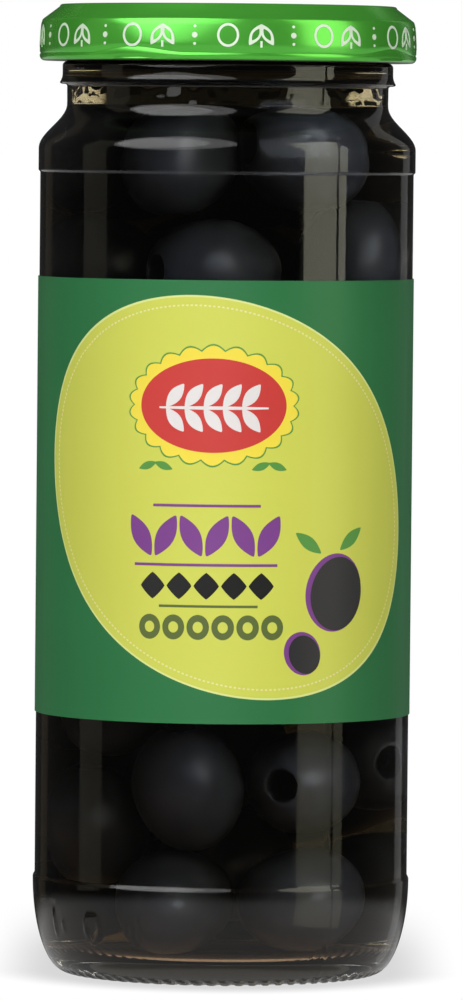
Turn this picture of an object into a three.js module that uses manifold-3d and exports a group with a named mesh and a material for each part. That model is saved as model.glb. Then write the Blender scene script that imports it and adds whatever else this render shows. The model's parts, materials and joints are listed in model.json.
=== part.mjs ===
// A jar of pitted black olives: a cylindrical glass jar, its metal lid, a label wrapped
// round the straight panel, and the heap of olives that fills the jar.
// Millimetres, +Z up. The origin is at the centre of the circle that the jar stands on.

import * as THREE from 'three';
import { mergeVertices } from 'three/addons/utils/BufferGeometryUtils.js';
import Module from 'manifold-3d';

const wasm = await Module();
wasm.setup();

// Driving sizes of the jar, outside
const BAND_RADIUS = 33.0;
const PANEL_RADIUS = 32.5;
const PUSH_UP_HEIGHT = 2.8;
const BEARING_INNER_RADIUS = 25.2;
const BEARING_OUTER_RADIUS = 27.0;
const HEEL_HEIGHT = 14.0;
const LOWER_BAND_TOP = 16.6;
const UPPER_BAND_BOTTOM = 140.5;
const UPPER_BAND_TOP = 144.2;
const LEDGE_HEIGHT = 0.9;
const SHOULDER_TOP = 152.0;
const NECK_RADIUS = 28.1;
const BEAD_BOTTOM = 155.5;
const BEAD_TOP = 159.3;
const BEAD_RADIUS = 29.4;
const BEAD_WAIST_RADIUS = 29.1;
const BEAD_EDGE = 0.4;
const FINISH_RADIUS = 28.0;
const RIM_TOP = 168.2;
const RIM_EDGE = 0.6;

// Driving sizes of the jar, inside
const BORE_RADIUS = 30.2;
const MOUTH_RADIUS = 25.8;
const FLOOR_AT_WALL = 4.6;
const FLOOR_RISE = 1.6;
const CORNER_RADIUS = 8.0;
const INNER_SHOULDER_BOTTOM = 143.0;
const INNER_SHOULDER_TOP = 152.5;

// Lid
const LID_RADIUS = 33.0;
const LID_WALL = 0.6;
const LID_BOTTOM = 159.5;
const LID_BEVEL_BOTTOM = 166.6;
const LID_TOP = 169.4;
const LID_CROWN_RADIUS = 29.1;
const LID_PANEL_RADIUS = 24.0;
const LID_PANEL_DROP = 0.6;
const LID_STEP = 0.8;
const CURL_RADIUS = 0.9;

// Label
const LABEL_RADIUS = 32.9;
const LABEL_THICKNESS = 0.2;
const LABEL_BOTTOM = 45.7;
const LABEL_TOP = 121.9;

// Olives, as a heap on a core
const OLIVE_RADIUS = { least: 9.0, most: 9.5 };
const OLIVE_LENGTH_RATIO = { least: 1.18, most: 1.26 };
const PIT_HOLE_RADIUS = 3.2;
const PIT_HOLE_DEPTH = 4.0;
const HEAP_RADIUS = 30.05;
const HEAP_BOTTOM = 4.9;
const HEAP_SHOULDER = 151.6;
const HEAP_NECK = 157.5;
const NECK_COLUMN_RADIUS = 12.0;
const RING_RADIUS = 20.6;
const RING_COUNT = 6;
const RING_PITCH = 18.0;
const FIRST_RING = 14.5;
const LAST_RING = 146.0;
const RING_ROOM = 16.5;
const COLUMN_RADIUS = 2.0;
const COLUMN_PITCH = 19.0;
const COLUMN_TOP = 152.0;
const SETTLE_PASSES = 120;
const SETTLE_STEP = 0.8;
const AZIMUTH_SCATTER = 5;
const HEIGHT_SCATTER = 2;
const WALL_ROLL = 100;
const WALL_PITCH = 35;
const COLUMN_ROLL = 90;
const COLUMN_PITCH_ANGLE = 60;
const DRAW_SEED = 3;
const DRAW_MULTIPLIER = 16807;
const DRAW_MODULUS = 2147483647;
const CORE_RADIUS = 19.0;
const CORE_BOTTOM = 9.0;
const CORE_TOP = 147.0;
const WALL_ZONE = 8.0;
const HOLE_FACES_CORE = -0.3;
const OLIVE_CLEARANCE = 0.25;

// Facets
const JAR_SIDES = 48;
const OLIVE_SIDES = 8;
const OLIVE_RINGS = 5;
const CORE_SIDES = 16;
const BASE_STEPS = 4;
const HEEL_STEPS = 7;
const SHOULDER_STEPS = 7;
const INNER_SHOULDER_STEPS = 6;
const CORNER_STEPS = 5;
const FLOOR_STEPS = 3;
const CURL_STEPS = 6;

// The olives that show at the front. Azimuth is seen from above, 0 towards -Y and 90 towards +X.
// Roll leans the olive along the wall from upright, and pitch turns its pit hole out to the wall.
const FRONT_OLIVES = [
  { azimuth: -16, height: 142.0, roll: 25, pitch: -62 },
  { azimuth: -6, height: 123.4, roll: -90, pitch: 31 },
  { azimuth: 62, height: 128.5, roll: 4, pitch: 0 },
  { azimuth: 36, height: 145.0, roll: -80, pitch: -10 },
  { azimuth: -10, height: 33.5, roll: -6, pitch: 10 },
  { azimuth: -25, height: 14.4, roll: 0, pitch: -75 },
  { azimuth: -64, height: 25.5, roll: 3, pitch: 4 },
  { azimuth: -52, height: 48.0, roll: 60, pitch: 12 },
  { azimuth: 94, height: 39.0, roll: -90, pitch: 27 },
  { azimuth: 44, height: 35.5, roll: -90, pitch: 30 },
  { azimuth: 38, height: 14.6, roll: 85, pitch: 5 },
  { azimuth: -74, height: 123.0, roll: -75, pitch: 35 },
];
const FRONT_GIVE = 0.1;

const UP = new THREE.Vector3(0, 0, 1);
const radians = THREE.MathUtils.degToRad;

// A solid of revolution about Z. A profile holds [radius, height] pairs.
function turned(profile, sides) {
  const points = profile.map(([radius, height]) => new THREE.Vector2(radius, height));
  return new THREE.LatheGeometry(points, sides).rotateX(Math.PI / 2);
}

// Heights from start to end in equal steps, each turned into a [radius, height] pair.
function sweep(start, end, steps, radiusAt) {
  return Array.from({ length: steps + 1 }, (_, i) => {
    const height = THREE.MathUtils.lerp(start, end, i / steps);
    return [radiusAt(height), height];
  });
}

// A dish or dome over a circle, from the axis out to its rim.
function dish(rimRadius, rimHeight, rise, steps) {
  return Array.from({ length: steps + 1 }, (_, i) => {
    const share = i / steps;
    return [rimRadius * share, rimHeight + rise * (1 - share * share)];
  });
}

// An arc of an ellipse about a centre, with angles in degrees from the outward direction.
function arc(centre, sizes, from, to, steps) {
  return Array.from({ length: steps + 1 }, (_, i) => {
    const angle = radians(THREE.MathUtils.lerp(from, to, i / steps));
    return [centre[0] + sizes[0] * Math.cos(angle), centre[1] + sizes[1] * Math.sin(angle)];
  });
}

// The S-shaped run of a shoulder between two radii.
function shoulder(bottom, top, lowerRadius, upperRadius, steps) {
  return sweep(bottom, top, steps, (height) => {
    const share = (height - bottom) / (top - bottom);
    return upperRadius + (lowerRadius - upperRadius) * (1 + Math.cos(Math.PI * share)) / 2;
  });
}

function jarGeometry() {
  const heelSize = [BAND_RADIUS - BEARING_OUTER_RADIUS, HEEL_HEIGHT];
  const base = dish(BEARING_INNER_RADIUS, 0, PUSH_UP_HEIGHT, BASE_STEPS);
  const heel = arc([BEARING_OUTER_RADIUS, HEEL_HEIGHT], heelSize, -90, 0, HEEL_STEPS);
  const panel = [
    [BAND_RADIUS, LOWER_BAND_TOP],
    [PANEL_RADIUS, LOWER_BAND_TOP + LEDGE_HEIGHT],
    [PANEL_RADIUS, UPPER_BAND_BOTTOM - LEDGE_HEIGHT],
    [BAND_RADIUS, UPPER_BAND_BOTTOM],
  ];
  const outerShoulder = shoulder(
    UPPER_BAND_TOP, SHOULDER_TOP, BAND_RADIUS, NECK_RADIUS, SHOULDER_STEPS,
  );
  const bead = [
    [NECK_RADIUS, BEAD_BOTTOM],
    [BEAD_RADIUS, BEAD_BOTTOM + BEAD_EDGE],
    [BEAD_WAIST_RADIUS, (BEAD_BOTTOM + BEAD_TOP) / 2],
    [BEAD_RADIUS, BEAD_TOP - BEAD_EDGE],
    [BEAD_RADIUS - BEAD_EDGE, BEAD_TOP],
    [FINISH_RADIUS, BEAD_TOP + BEAD_EDGE],
  ];
  const rim = [
    [FINISH_RADIUS, RIM_TOP - RIM_EDGE],
    [FINISH_RADIUS - RIM_EDGE, RIM_TOP],
    [MOUTH_RADIUS + RIM_EDGE, RIM_TOP],
    [MOUTH_RADIUS, RIM_TOP - RIM_EDGE],
  ];
  const innerShoulder = shoulder(
    INNER_SHOULDER_BOTTOM, INNER_SHOULDER_TOP, BORE_RADIUS, MOUTH_RADIUS, INNER_SHOULDER_STEPS,
  );
  const cornerCentre = [BORE_RADIUS - CORNER_RADIUS, FLOOR_AT_WALL + CORNER_RADIUS];
  const corner = arc(cornerCentre, [CORNER_RADIUS, CORNER_RADIUS], 0, -90, CORNER_STEPS);
  const floor = dish(cornerCentre[0], FLOOR_AT_WALL, FLOOR_RISE, FLOOR_STEPS).reverse().slice(1);
  const profile = [
    ...base, ...heel, ...panel, ...outerShoulder, ...bead, ...rim,
    ...innerShoulder.reverse(), ...corner, ...floor,
  ];
  return turned(profile, JAR_SIDES);
}

function lidGeometry() {
  const inner = LID_RADIUS - LID_WALL;
  const curlCentre = [LID_RADIUS - CURL_RADIUS, LID_BOTTOM + CURL_RADIUS];
  const underside = LID_TOP - LID_WALL;
  const profile = [
    [0, underside - LID_PANEL_DROP],
    [LID_PANEL_RADIUS, underside - LID_PANEL_DROP],
    [LID_PANEL_RADIUS + LID_STEP, underside],
    [LID_CROWN_RADIUS - LID_WALL / 3, underside],
    [inner, LID_BEVEL_BOTTOM - LID_WALL / 3],
    [inner, LID_BOTTOM + 2 * CURL_RADIUS + LID_WALL / 3],
    ...arc(curlCentre, [CURL_RADIUS, CURL_RADIUS], 90, 360, CURL_STEPS),
    [LID_RADIUS, LID_BEVEL_BOTTOM],
    [LID_CROWN_RADIUS, LID_TOP],
    [LID_PANEL_RADIUS + LID_STEP, LID_TOP],
    [LID_PANEL_RADIUS, LID_TOP - LID_PANEL_DROP],
    [0, LID_TOP - LID_PANEL_DROP],
  ];
  return turned(profile, JAR_SIDES);
}

function labelGeometry() {
  const inner = LABEL_RADIUS - LABEL_THICKNESS;
  const profile = [
    [inner, LABEL_BOTTOM],
    [LABEL_RADIUS, LABEL_BOTTOM],
    [LABEL_RADIUS, LABEL_TOP],
    [inner, LABEL_TOP],
    [inner, LABEL_BOTTOM],
  ];
  return turned(profile, JAR_SIDES);
}

// Repeatable draws from a seed.
class Draw {
  constructor(seed) {
    this.state = seed;
  }

  between(low, high) {
    this.state = (this.state * DRAW_MULTIPLIER) % DRAW_MODULUS;
    return low + (high - low) * this.state / DRAW_MODULUS;
  }

  // A draw to either side of nought.
  about(spread) {
    return this.between(-spread, spread);
  }
}

// The point at an azimuth, a distance from the axis and a height.
function pointAt(azimuth, distance, height) {
  const angle = radians(azimuth);
  return new THREE.Vector3(distance * Math.sin(angle), -distance * Math.cos(angle), height);
}

// The direction of an olive's pit hole, from its roll and pitch at an azimuth.
function pitDirection(azimuth, roll, pitch) {
  const outward = pointAt(azimuth, 1, 0);
  const sideways = pointAt(azimuth + 90, 1, 0);
  return new THREE.Vector3()
    .addScaledVector(sideways, Math.cos(radians(pitch)) * Math.sin(radians(roll)))
    .addScaledVector(outward, Math.sin(radians(pitch)))
    .addScaledVector(UP, Math.cos(radians(pitch)) * Math.cos(radians(roll)));
}

// One olive: an egg of revolution, with the share of a push that it gives way to.
class Olive {
  constructor(draw, centre, direction, give) {
    this.radius = draw.between(OLIVE_RADIUS.least, OLIVE_RADIUS.most);
    this.halfLength = this.radius * draw.between(OLIVE_LENGTH_RATIO.least, OLIVE_LENGTH_RATIO.most);
    this.centre = centre;
    this.direction = direction;
    this.give = give;
  }

  // How far the olive reaches from its centre along a unit vector.
  reach(along) {
    const lengthwise = along.dot(this.direction);
    const across = 1 - lengthwise * lengthwise;
    return Math.sqrt((this.halfLength * lengthwise) ** 2 + this.radius ** 2 * across);
  }

  // Pulls the olive back inside the jar.
  keepInside() {
    const outward = new THREE.Vector3(this.centre.x, this.centre.y, 0);
    const distance = outward.length();
    const furthest = HEAP_RADIUS - this.reach(outward.normalize());
    if (distance > furthest) {
      this.centre.x *= furthest / distance;
      this.centre.y *= furthest / distance;
    }
    const rise = this.reach(UP);
    const ceiling = Math.min(distance, furthest) < NECK_COLUMN_RADIUS ? HEAP_NECK : HEAP_SHOULDER;
    this.centre.z = THREE.MathUtils.clamp(this.centre.z, HEAP_BOTTOM + rise, ceiling - rise);
  }
}

// Pushes two olives apart where they overlap.
function pushApart(one, other) {
  const across = other.centre.clone().sub(one.centre);
  const distance = across.length();
  across.divideScalar(distance);
  const overlap = one.reach(across) + other.reach(across) - distance;
  if (overlap <= 0) {
    return;
  }
  const push = SETTLE_STEP * overlap / (one.give + other.give);
  one.centre.addScaledVector(across, -push * one.give);
  other.centre.addScaledVector(across, push * other.give);
}

// All the olives in the jar: those at the front, rings along the wall where there is room,
// and a column up the middle, settled until they no longer overlap.
function settledOlives() {
  const draw = new Draw(DRAW_SEED);
  const olives = FRONT_OLIVES.map(({ azimuth, height, roll, pitch }) => new Olive(
    draw, pointAt(azimuth, RING_RADIUS, height), pitDirection(azimuth, roll, pitch), FRONT_GIVE,
  ));
  let ring = 0;
  for (let height = FIRST_RING; height < LAST_RING; height += RING_PITCH) {
    for (let i = 0; i < RING_COUNT; i += 1) {
      const azimuth = (i + (ring % 2) / 2) * 360 / RING_COUNT + draw.about(AZIMUTH_SCATTER);
      const centre = pointAt(azimuth, RING_RADIUS, height + draw.about(HEIGHT_SCATTER));
      const direction = pitDirection(azimuth, draw.about(WALL_ROLL), draw.about(WALL_PITCH));
      if (olives.every((olive) => olive.centre.distanceTo(centre) > RING_ROOM)) {
        olives.push(new Olive(draw, centre, direction, 1));
      }
    }
    ring += 1;
  }
  for (let height = FIRST_RING + RING_PITCH / 2; height < COLUMN_TOP; height += COLUMN_PITCH) {
    const azimuth = draw.between(0, 360);
    const direction = pitDirection(azimuth, draw.about(COLUMN_ROLL), draw.about(COLUMN_PITCH_ANGLE));
    olives.push(new Olive(draw, pointAt(azimuth, COLUMN_RADIUS, height), direction, 1));
  }
  for (let pass = 0; pass < SETTLE_PASSES; pass += 1) {
    olives.forEach((one, i) => olives.slice(i + 1).forEach((other) => pushApart(one, other)));
    olives.forEach((olive) => olive.keepInside());
  }
  return olives;
}

// An olive with the mouth of its pit hole, or whole where the hole faces the core.
function oliveGeometry(olive) {
  const radius = olive.radius - OLIVE_CLEARANCE;
  const halfLength = olive.halfLength - OLIVE_CLEARANCE;
  const outward = new THREE.Vector3(olive.centre.x, olive.centre.y, 0).normalize();
  const holeShows = olive.direction.dot(outward) > HOLE_FACES_CORE;
  const mouth = holeShows ? THREE.MathUtils.radToDeg(Math.acos(PIT_HOLE_RADIUS / radius)) : 90;
  const profile = arc([0, 0], [radius, halfLength], -90, mouth, OLIVE_RINGS);
  profile[0][0] = 0;
  if (holeShows) {
    profile.push([0, profile[OLIVE_RINGS][1] - PIT_HOLE_DEPTH]);
  } else {
    profile[OLIVE_RINGS][0] = 0;
  }
  const turn = new THREE.Quaternion().setFromUnitVectors(UP, olive.direction);
  return turned(profile, OLIVE_SIDES).applyQuaternion(turn).translate(...olive.centre);
}

function solid(geometry) {
  const bare = geometry.clone();
  bare.deleteAttribute('normal');
  bare.deleteAttribute('uv');
  const merged = mergeVertices(bare, 1e-4);
  return new wasm.Manifold(new wasm.Mesh({
    numProp: 3,
    vertProperties: new Float32Array(merged.attributes.position.array),
    triVerts: new Uint32Array(merged.index.array),
  }));
}

function geometryOf(manifold) {
  const mesh = manifold.getMesh();
  const geometry = new THREE.BufferGeometry();
  geometry.setAttribute('position', new THREE.BufferAttribute(new Float32Array(mesh.vertProperties), 3));
  geometry.setIndex(new THREE.BufferAttribute(new Uint32Array(mesh.triVerts), 1));
  return geometry;
}

// The heap: a core with every olive that lies along the wall fused on.
function heapGeometry() {
  const coreProfile = [
    [0, CORE_BOTTOM],
    [CORE_RADIUS, CORE_BOTTOM],
    [CORE_RADIUS, CORE_TOP],
    [0, CORE_TOP],
  ];
  const alongWall = settledOlives().filter(({ centre }) => Math.hypot(centre.x, centre.y) > WALL_ZONE);
  return geometryOf(alongWall.reduce(
    (heap, olive) => heap.add(solid(oliveGeometry(olive))),
    solid(turned(coreProfile, CORE_SIDES)),
  ));
}

function mesh(name, geometry, color, roughness, metalness) {
  const material = new THREE.MeshStandardMaterial({ color, roughness, metalness });
  const result = new THREE.Mesh(geometry, material);
  result.name = name;
  return result;
}

const group = new THREE.Group();
group.add(mesh('glass_jar', jarGeometry(), 0xc8d2cc, 0.05, 0));
group.add(mesh('lid', lidGeometry(), 0x3fa83c, 0.3, 0.6));
group.add(mesh('label', labelGeometry(), 0x32774b, 0.45, 0));
group.add(mesh('olives', heapGeometry(), 0x1c1d20, 0.35, 0));

export default group;
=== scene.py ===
"""A closed glass jar of pitted black olives in brine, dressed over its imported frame.

Sizes in this file are millimetres unless a name says otherwise; MM turns them into the
frame's metres. Azimuth is seen from above: 0 faces the front of the label (-Y), and it
grows towards +X. A flat print is drawn in the plane, with x along the jar's girth and y
along its height, and is wrapped round the jar afterwards.
"""

import json
import logging
from collections.abc import Callable, Mapping, Sequence
from dataclasses import dataclass, field
from enum import Enum, Flag, auto
from functools import cache
from math import acos, cos, exp, hypot, pi, radians, sin, sqrt

import bmesh
import bpy
from mathutils import Matrix, Vector, noise

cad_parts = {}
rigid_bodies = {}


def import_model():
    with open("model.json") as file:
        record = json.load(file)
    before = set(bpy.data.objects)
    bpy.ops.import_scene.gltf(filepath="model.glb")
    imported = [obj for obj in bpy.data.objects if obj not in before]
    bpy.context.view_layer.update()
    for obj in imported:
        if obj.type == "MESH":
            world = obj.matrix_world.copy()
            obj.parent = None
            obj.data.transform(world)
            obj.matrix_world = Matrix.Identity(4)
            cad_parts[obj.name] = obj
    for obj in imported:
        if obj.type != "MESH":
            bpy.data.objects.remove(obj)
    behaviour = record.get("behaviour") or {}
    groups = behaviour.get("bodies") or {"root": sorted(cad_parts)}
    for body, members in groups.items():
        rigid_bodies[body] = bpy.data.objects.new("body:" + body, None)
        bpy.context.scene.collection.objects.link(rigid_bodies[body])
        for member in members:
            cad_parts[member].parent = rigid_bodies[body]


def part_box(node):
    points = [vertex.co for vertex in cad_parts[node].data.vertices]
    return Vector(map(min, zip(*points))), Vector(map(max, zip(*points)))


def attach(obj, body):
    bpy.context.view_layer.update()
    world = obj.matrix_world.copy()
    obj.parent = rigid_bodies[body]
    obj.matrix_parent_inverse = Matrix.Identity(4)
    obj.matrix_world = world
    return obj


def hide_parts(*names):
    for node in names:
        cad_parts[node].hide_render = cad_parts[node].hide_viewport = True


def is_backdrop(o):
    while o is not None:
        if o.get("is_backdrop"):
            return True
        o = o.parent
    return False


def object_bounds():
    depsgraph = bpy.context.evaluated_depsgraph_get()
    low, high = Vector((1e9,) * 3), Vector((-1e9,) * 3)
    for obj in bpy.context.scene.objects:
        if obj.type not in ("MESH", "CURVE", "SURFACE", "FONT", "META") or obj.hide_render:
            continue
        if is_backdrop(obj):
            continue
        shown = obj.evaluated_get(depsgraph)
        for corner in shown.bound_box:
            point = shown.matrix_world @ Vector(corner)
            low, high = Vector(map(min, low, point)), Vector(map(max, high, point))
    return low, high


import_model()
CAD_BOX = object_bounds()

MM = 0.001
BODY = "root"
WHITE = (1.0, 1.0, 1.0)
SHARP_ANGLE = radians(45.0)
MERGE_DISTANCE = 1e-7
SHORTEST_EDGE = 1e-8
LOG = logging.getLogger("jar")

Node = bpy.types.Node
Object = bpy.types.Object
Socket = bpy.types.NodeSocket
Sockets = bpy.types.bpy_prop_collection
Tree = bpy.types.NodeTree
Pair = tuple[float, float]
Colour = tuple[float, float, float]
Corner = tuple[float, float, float]
Profile = list[Pair]
Relief = Callable[[float, float, float], Pair]
Outline = Callable[[float], Pair]


def smooth_step(low: float, high: float, value: float) -> float:
    """Rises smoothly from 0 at low to 1 at high.

    Args:
        low: Where the rise starts.
        high: Where the rise ends.
        value: The place that is asked for.

    Returns:
        The share of the rise, from 0 to 1.
    """
    share = min(max((value - low) / (high - low), 0.0), 1.0)
    return share * share * (3.0 - 2.0 * share)


def arc(centre: Pair, sizes: Pair, start: float, end: float, steps: int) -> Profile:
    """Points along an arc of an ellipse.

    Args:
        centre: The ellipse's centre.
        sizes: Its two half sizes.
        start: The first angle in degrees, 0 pointing outwards.
        end: The last angle in degrees.
        steps: How many steps the arc has.

    Returns:
        The points from start to end.
    """
    angles = (radians(start + (end - start) * i / steps) for i in range(steps + 1))
    return [(centre[0] + sizes[0] * cos(a), centre[1] + sizes[1] * sin(a)) for a in angles]


def dish(rim_radius: float, rim_height: float, rise: float, steps: int) -> Profile:
    """A shallow dish or dome over a circle, from the axis out to its rim.

    Args:
        rim_radius: Radius of the rim.
        rim_height: Height of the rim.
        rise: How far the middle stands above the rim.
        steps: How many steps the curve has.

    Returns:
        The points from the axis to the rim.
    """
    shares = (i / steps for i in range(steps + 1))
    return [(rim_radius * s, rim_height + rise * (1.0 - s * s)) for s in shares]


def s_curve(bottom: Pair, top: Pair, steps: int) -> Profile:
    """The S-shaped run of a shoulder between two points of a profile.

    Args:
        bottom: Radius and height where it starts.
        top: Radius and height where it ends.
        steps: How many steps the curve has.

    Returns:
        The points from bottom to top.
    """
    shares = [i / steps for i in range(steps + 1)]
    return [
        (top[0] + (bottom[0] - top[0]) * (1.0 + cos(pi * s)) / 2.0, bottom[1] + (top[1] - bottom[1]) * s)
        for s in shares
    ]


def line(start: Pair, end: Pair, steps: int) -> Profile:
    """Evenly spaced points on a straight run, without its first point.

    Args:
        start: The point before the run.
        end: The last point of the run.
        steps: How many points it has.

    Returns:
        The points after start, up to end.
    """
    shares = [i / steps for i in range(1, steps + 1)]
    return [(start[0] + (end[0] - start[0]) * s, start[1] + (end[1] - start[1]) * s) for s in shares]


class Graph:
    """A node tree that is filled by short calls."""

    def __init__(self, tree: Tree) -> None:
        """Takes the tree that is to be filled."""
        self.tree = tree

    def add(self, kind: str, values: Mapping[str | int, object] | None = None,
            **settings: object) -> Node:
        """Adds a node, sets its properties and feeds its inputs.

        Args:
            kind: The node's type name.
            values: What each input gets: a value, or a socket to join to.
            settings: The node's own properties.

        Returns:
            The new node.
        """
        node = self.tree.nodes.new(kind)
        for name, setting in settings.items():
            setattr(node, name, setting)
        for name, value in (values or {}).items():
            self.feed(node.inputs[name], value)
        return node

    def out(self, kind: str, values: Mapping[str | int, object] | None = None,
            **settings: object) -> Socket:
        """Adds a node as add does and returns its first output."""
        return self.add(kind, values, **settings).outputs[0]

    def feed(self, target: Socket, value: object) -> None:
        """Gives an input a value or joins a socket to it.

        Args:
            target: The input.
            value: The value or the socket.
        """
        if isinstance(value, Socket):
            self.tree.links.new(value, target)
        else:
            target.default_value = value

    def maths(self, operation: str, *values: object) -> Socket:
        """Adds a maths node and returns its result."""
        return self.out("ShaderNodeMath", dict(enumerate(values)), operation=operation)

    def vector(self, operation: str, *values: object) -> Node:
        """Adds a node of vector maths."""
        return self.add("ShaderNodeVectorMath", dict(enumerate(values)), operation=operation)

    def place(self) -> Socket:
        """The place on the object, in a material."""
        return self.add("ShaderNodeTexCoord").outputs["Object"]

    def parts(self, vector: Socket) -> Sockets:
        """A vector's three parts."""
        return self.add("ShaderNodeSeparateXYZ", {0: vector}).outputs

    def mixed(self, share: object, base: object, tint: object, **settings: object) -> Socket:
        """Mixes two colours.

        Args:
            share: The second colour's share.
            base: The first colour.
            tint: The second colour.
            settings: The mix node's own properties.

        Returns:
            The mixed colour.
        """
        node = self.add("ShaderNodeMix", data_type="RGBA", **settings)
        for identifier, value in (("Factor_Float", share), ("A_Color", base), ("B_Color", tint)):
            self.feed(next(one for one in node.inputs if one.identifier == identifier), value)
        return next(one for one in node.outputs if one.identifier == "Result_Color")

    def eased(self, value: Socket, start: Pair, end: Pair) -> Socket:
        """Maps a value smoothly from one range to another.

        Args:
            value: The value.
            start: A value and what it becomes.
            end: The value at the other end and what that becomes.

        Returns:
            The mapped value.
        """
        return self.add("ShaderNodeMapRange", {
            "Value": value,
            "From Min": start[0],
            "From Max": end[0],
            "To Min": start[1],
            "To Max": end[1],
        }, interpolation_type="SMOOTHSTEP").outputs["Result"]


class Effects:
    """The shader node groups that more than one finish uses, each built once."""

    @staticmethod
    def _group(name: str, inputs: Mapping[str, tuple[str, object]],
               output: tuple[str, str]) -> tuple[Graph, Sockets, Socket]:
        """Starts a shader node group with named sockets.

        Args:
            name: The group's name.
            inputs: Each input's socket type and value.
            output: The output's name and socket type.

        Returns:
            The graph to fill, its inputs' sockets and the socket of its output.
        """
        tree = bpy.data.node_groups.new(name, "ShaderNodeTree")
        for socket_name, (kind, value) in inputs.items():
            socket = tree.interface.new_socket(socket_name, in_out="INPUT", socket_type=kind)
            socket.default_value = value
        tree.interface.new_socket(output[0], in_out="OUTPUT", socket_type=output[1])
        graph = Graph(tree)
        return graph, graph.add("NodeGroupInput").outputs, graph.add("NodeGroupOutput").inputs[0]

    @classmethod
    @cache
    def unevenness(cls) -> Tree:
        """A soft unevenness of the surface, as a normal.

        Returns:
            A group with Scale, Stretch, Detail and Depth, all in the object's metres.
        """
        graph, given, result = cls._group("surface unevenness", {
            "Scale": ("NodeSocketFloat", 100.0),
            "Stretch": ("NodeSocketVector", (1.0, 1.0, 1.0)),
            "Detail": ("NodeSocketFloat", 2.0),
            "Depth": ("NodeSocketFloat", 0.0001),
        }, ("Normal", "NodeSocketVector"))
        waves = graph.out("ShaderNodeTexNoise", {
            "Vector": graph.vector("MULTIPLY", graph.place(), given["Stretch"]).outputs[0],
            "Scale": given["Scale"],
            "Detail": given["Detail"],
        })
        graph.feed(result, graph.out("ShaderNodeBump", {"Distance": given["Depth"], "Height": waves}))
        return graph.tree

    @classmethod
    @cache
    def mottle(cls) -> Tree:
        """Two colours that drift into each other over the surface.

        Returns:
            A group with Scale, Contrast, Base and Tint.
        """
        graph, given, result = cls._group("colour mottle", {
            "Scale": ("NodeSocketFloat", 100.0),
            "Contrast": ("NodeSocketFloat", 2.0),
            "Base": ("NodeSocketColor", (0.5, 0.5, 0.5, 1.0)),
            "Tint": ("NodeSocketColor", (0.5, 0.5, 0.5, 1.0)),
        }, ("Colour", "NodeSocketColor"))
        clouds = graph.out("ShaderNodeTexNoise", {
            "Vector": graph.place(),
            "Scale": given["Scale"],
            "Detail": 4.0,
        })
        centred = graph.maths("SUBTRACT", clouds, 0.5)
        widened = graph.maths("MULTIPLY_ADD", centred, given["Contrast"], 0.5)
        mixed = graph.mixed(widened, given["Base"], given["Tint"], clamp_factor=True)
        graph.feed(result, mixed)
        return graph.tree


def rgba(colour: Colour) -> tuple[float, float, float, float]:
    """A linear colour with full alpha."""
    return (*colour, 1.0)


@dataclass(frozen=True)
class Unevenness:
    """How uneven a finish is: spots per metre, depth in millimetres, and stretch along each axis."""

    scale: float
    depth: float
    detail: float = 2.0
    stretch: Colour = (1.0, 1.0, 1.0)

    def normal(self, graph: Graph) -> Socket:
        """Places the shared group in a material.

        Args:
            graph: The material's nodes.

        Returns:
            The group's normal.
        """
        return graph.add("ShaderNodeGroup", {
            "Scale": self.scale,
            "Stretch": self.stretch,
            "Detail": self.detail,
            "Depth": self.depth * MM,
        }, node_tree=Effects.unevenness()).outputs["Normal"]


@dataclass(frozen=True)
class Mottle:
    """Two linear colours and how they drift into each other."""

    base: Colour
    tint: Colour
    scale: float
    contrast: float = 2.0

    def colour(self, graph: Graph) -> Socket:
        """Places the shared group in a material.

        Args:
            graph: The material's nodes.

        Returns:
            The group's colour.
        """
        return graph.add("ShaderNodeGroup", {
            "Scale": self.scale,
            "Contrast": self.contrast,
            "Base": rgba(self.base),
            "Tint": rgba(self.tint),
        }, node_tree=Effects.mottle()).outputs["Colour"]


@dataclass(frozen=True)
class Finish:
    """What every finish shares: a name, a roughness and an unevenness."""

    name: str
    roughness: float
    unevenness: Unevenness

    def material(self) -> bpy.types.Material:
        """The finish as a material, made on first use."""
        found = bpy.data.materials.get(self.name)
        if found:
            return found
        material = bpy.data.materials.new(self.name)
        material.use_nodes = True
        graph = Graph(material.node_tree)
        shader = material.node_tree.nodes["Principled BSDF"]
        normal = self.unevenness.normal(graph)
        looks = {"Roughness": self.roughness, "Normal": normal, **self.dress(graph)}
        for name, look in looks.items():
            graph.feed(shader.inputs[name], look)
        return material

    def dress(self, graph: Graph) -> dict[str, object]:
        """Makes what is this finish's own; the others add to it.

        Args:
            graph: The material's nodes.

        Returns:
            What the inputs of the material's Principled shader get, by name.
        """
        return {}


@dataclass(frozen=True)
class ClearGlass(Finish):
    """Clear glass, or a face between glass and liquid, by the ratio of refraction."""

    refraction: float = 1.5

    def dress(self, graph: Graph) -> dict[str, object]:
        """Makes the shader clear."""
        return {"Base Color": rgba(WHITE), "Transmission Weight": 1.0, "IOR": self.refraction}


@dataclass(frozen=True)
class Liquid(ClearGlass):
    """A clear liquid that takes light away evenly."""

    tint: Colour = WHITE
    density: float = 0.0

    def dress(self, graph: Graph) -> dict[str, object]:
        """Makes the shader clear and gives the liquid its body colour.

        Args:
            graph: The material's nodes.

        Returns:
            What the shader's inputs get, by name.
        """
        body = graph.out("ShaderNodeVolumeAbsorption", {"Color": rgba(self.tint), "Density": self.density})
        output = next(node for node in graph.tree.nodes if node.type == "OUTPUT_MATERIAL")
        graph.feed(output.inputs["Volume"], body)
        return super().dress(graph)


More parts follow.
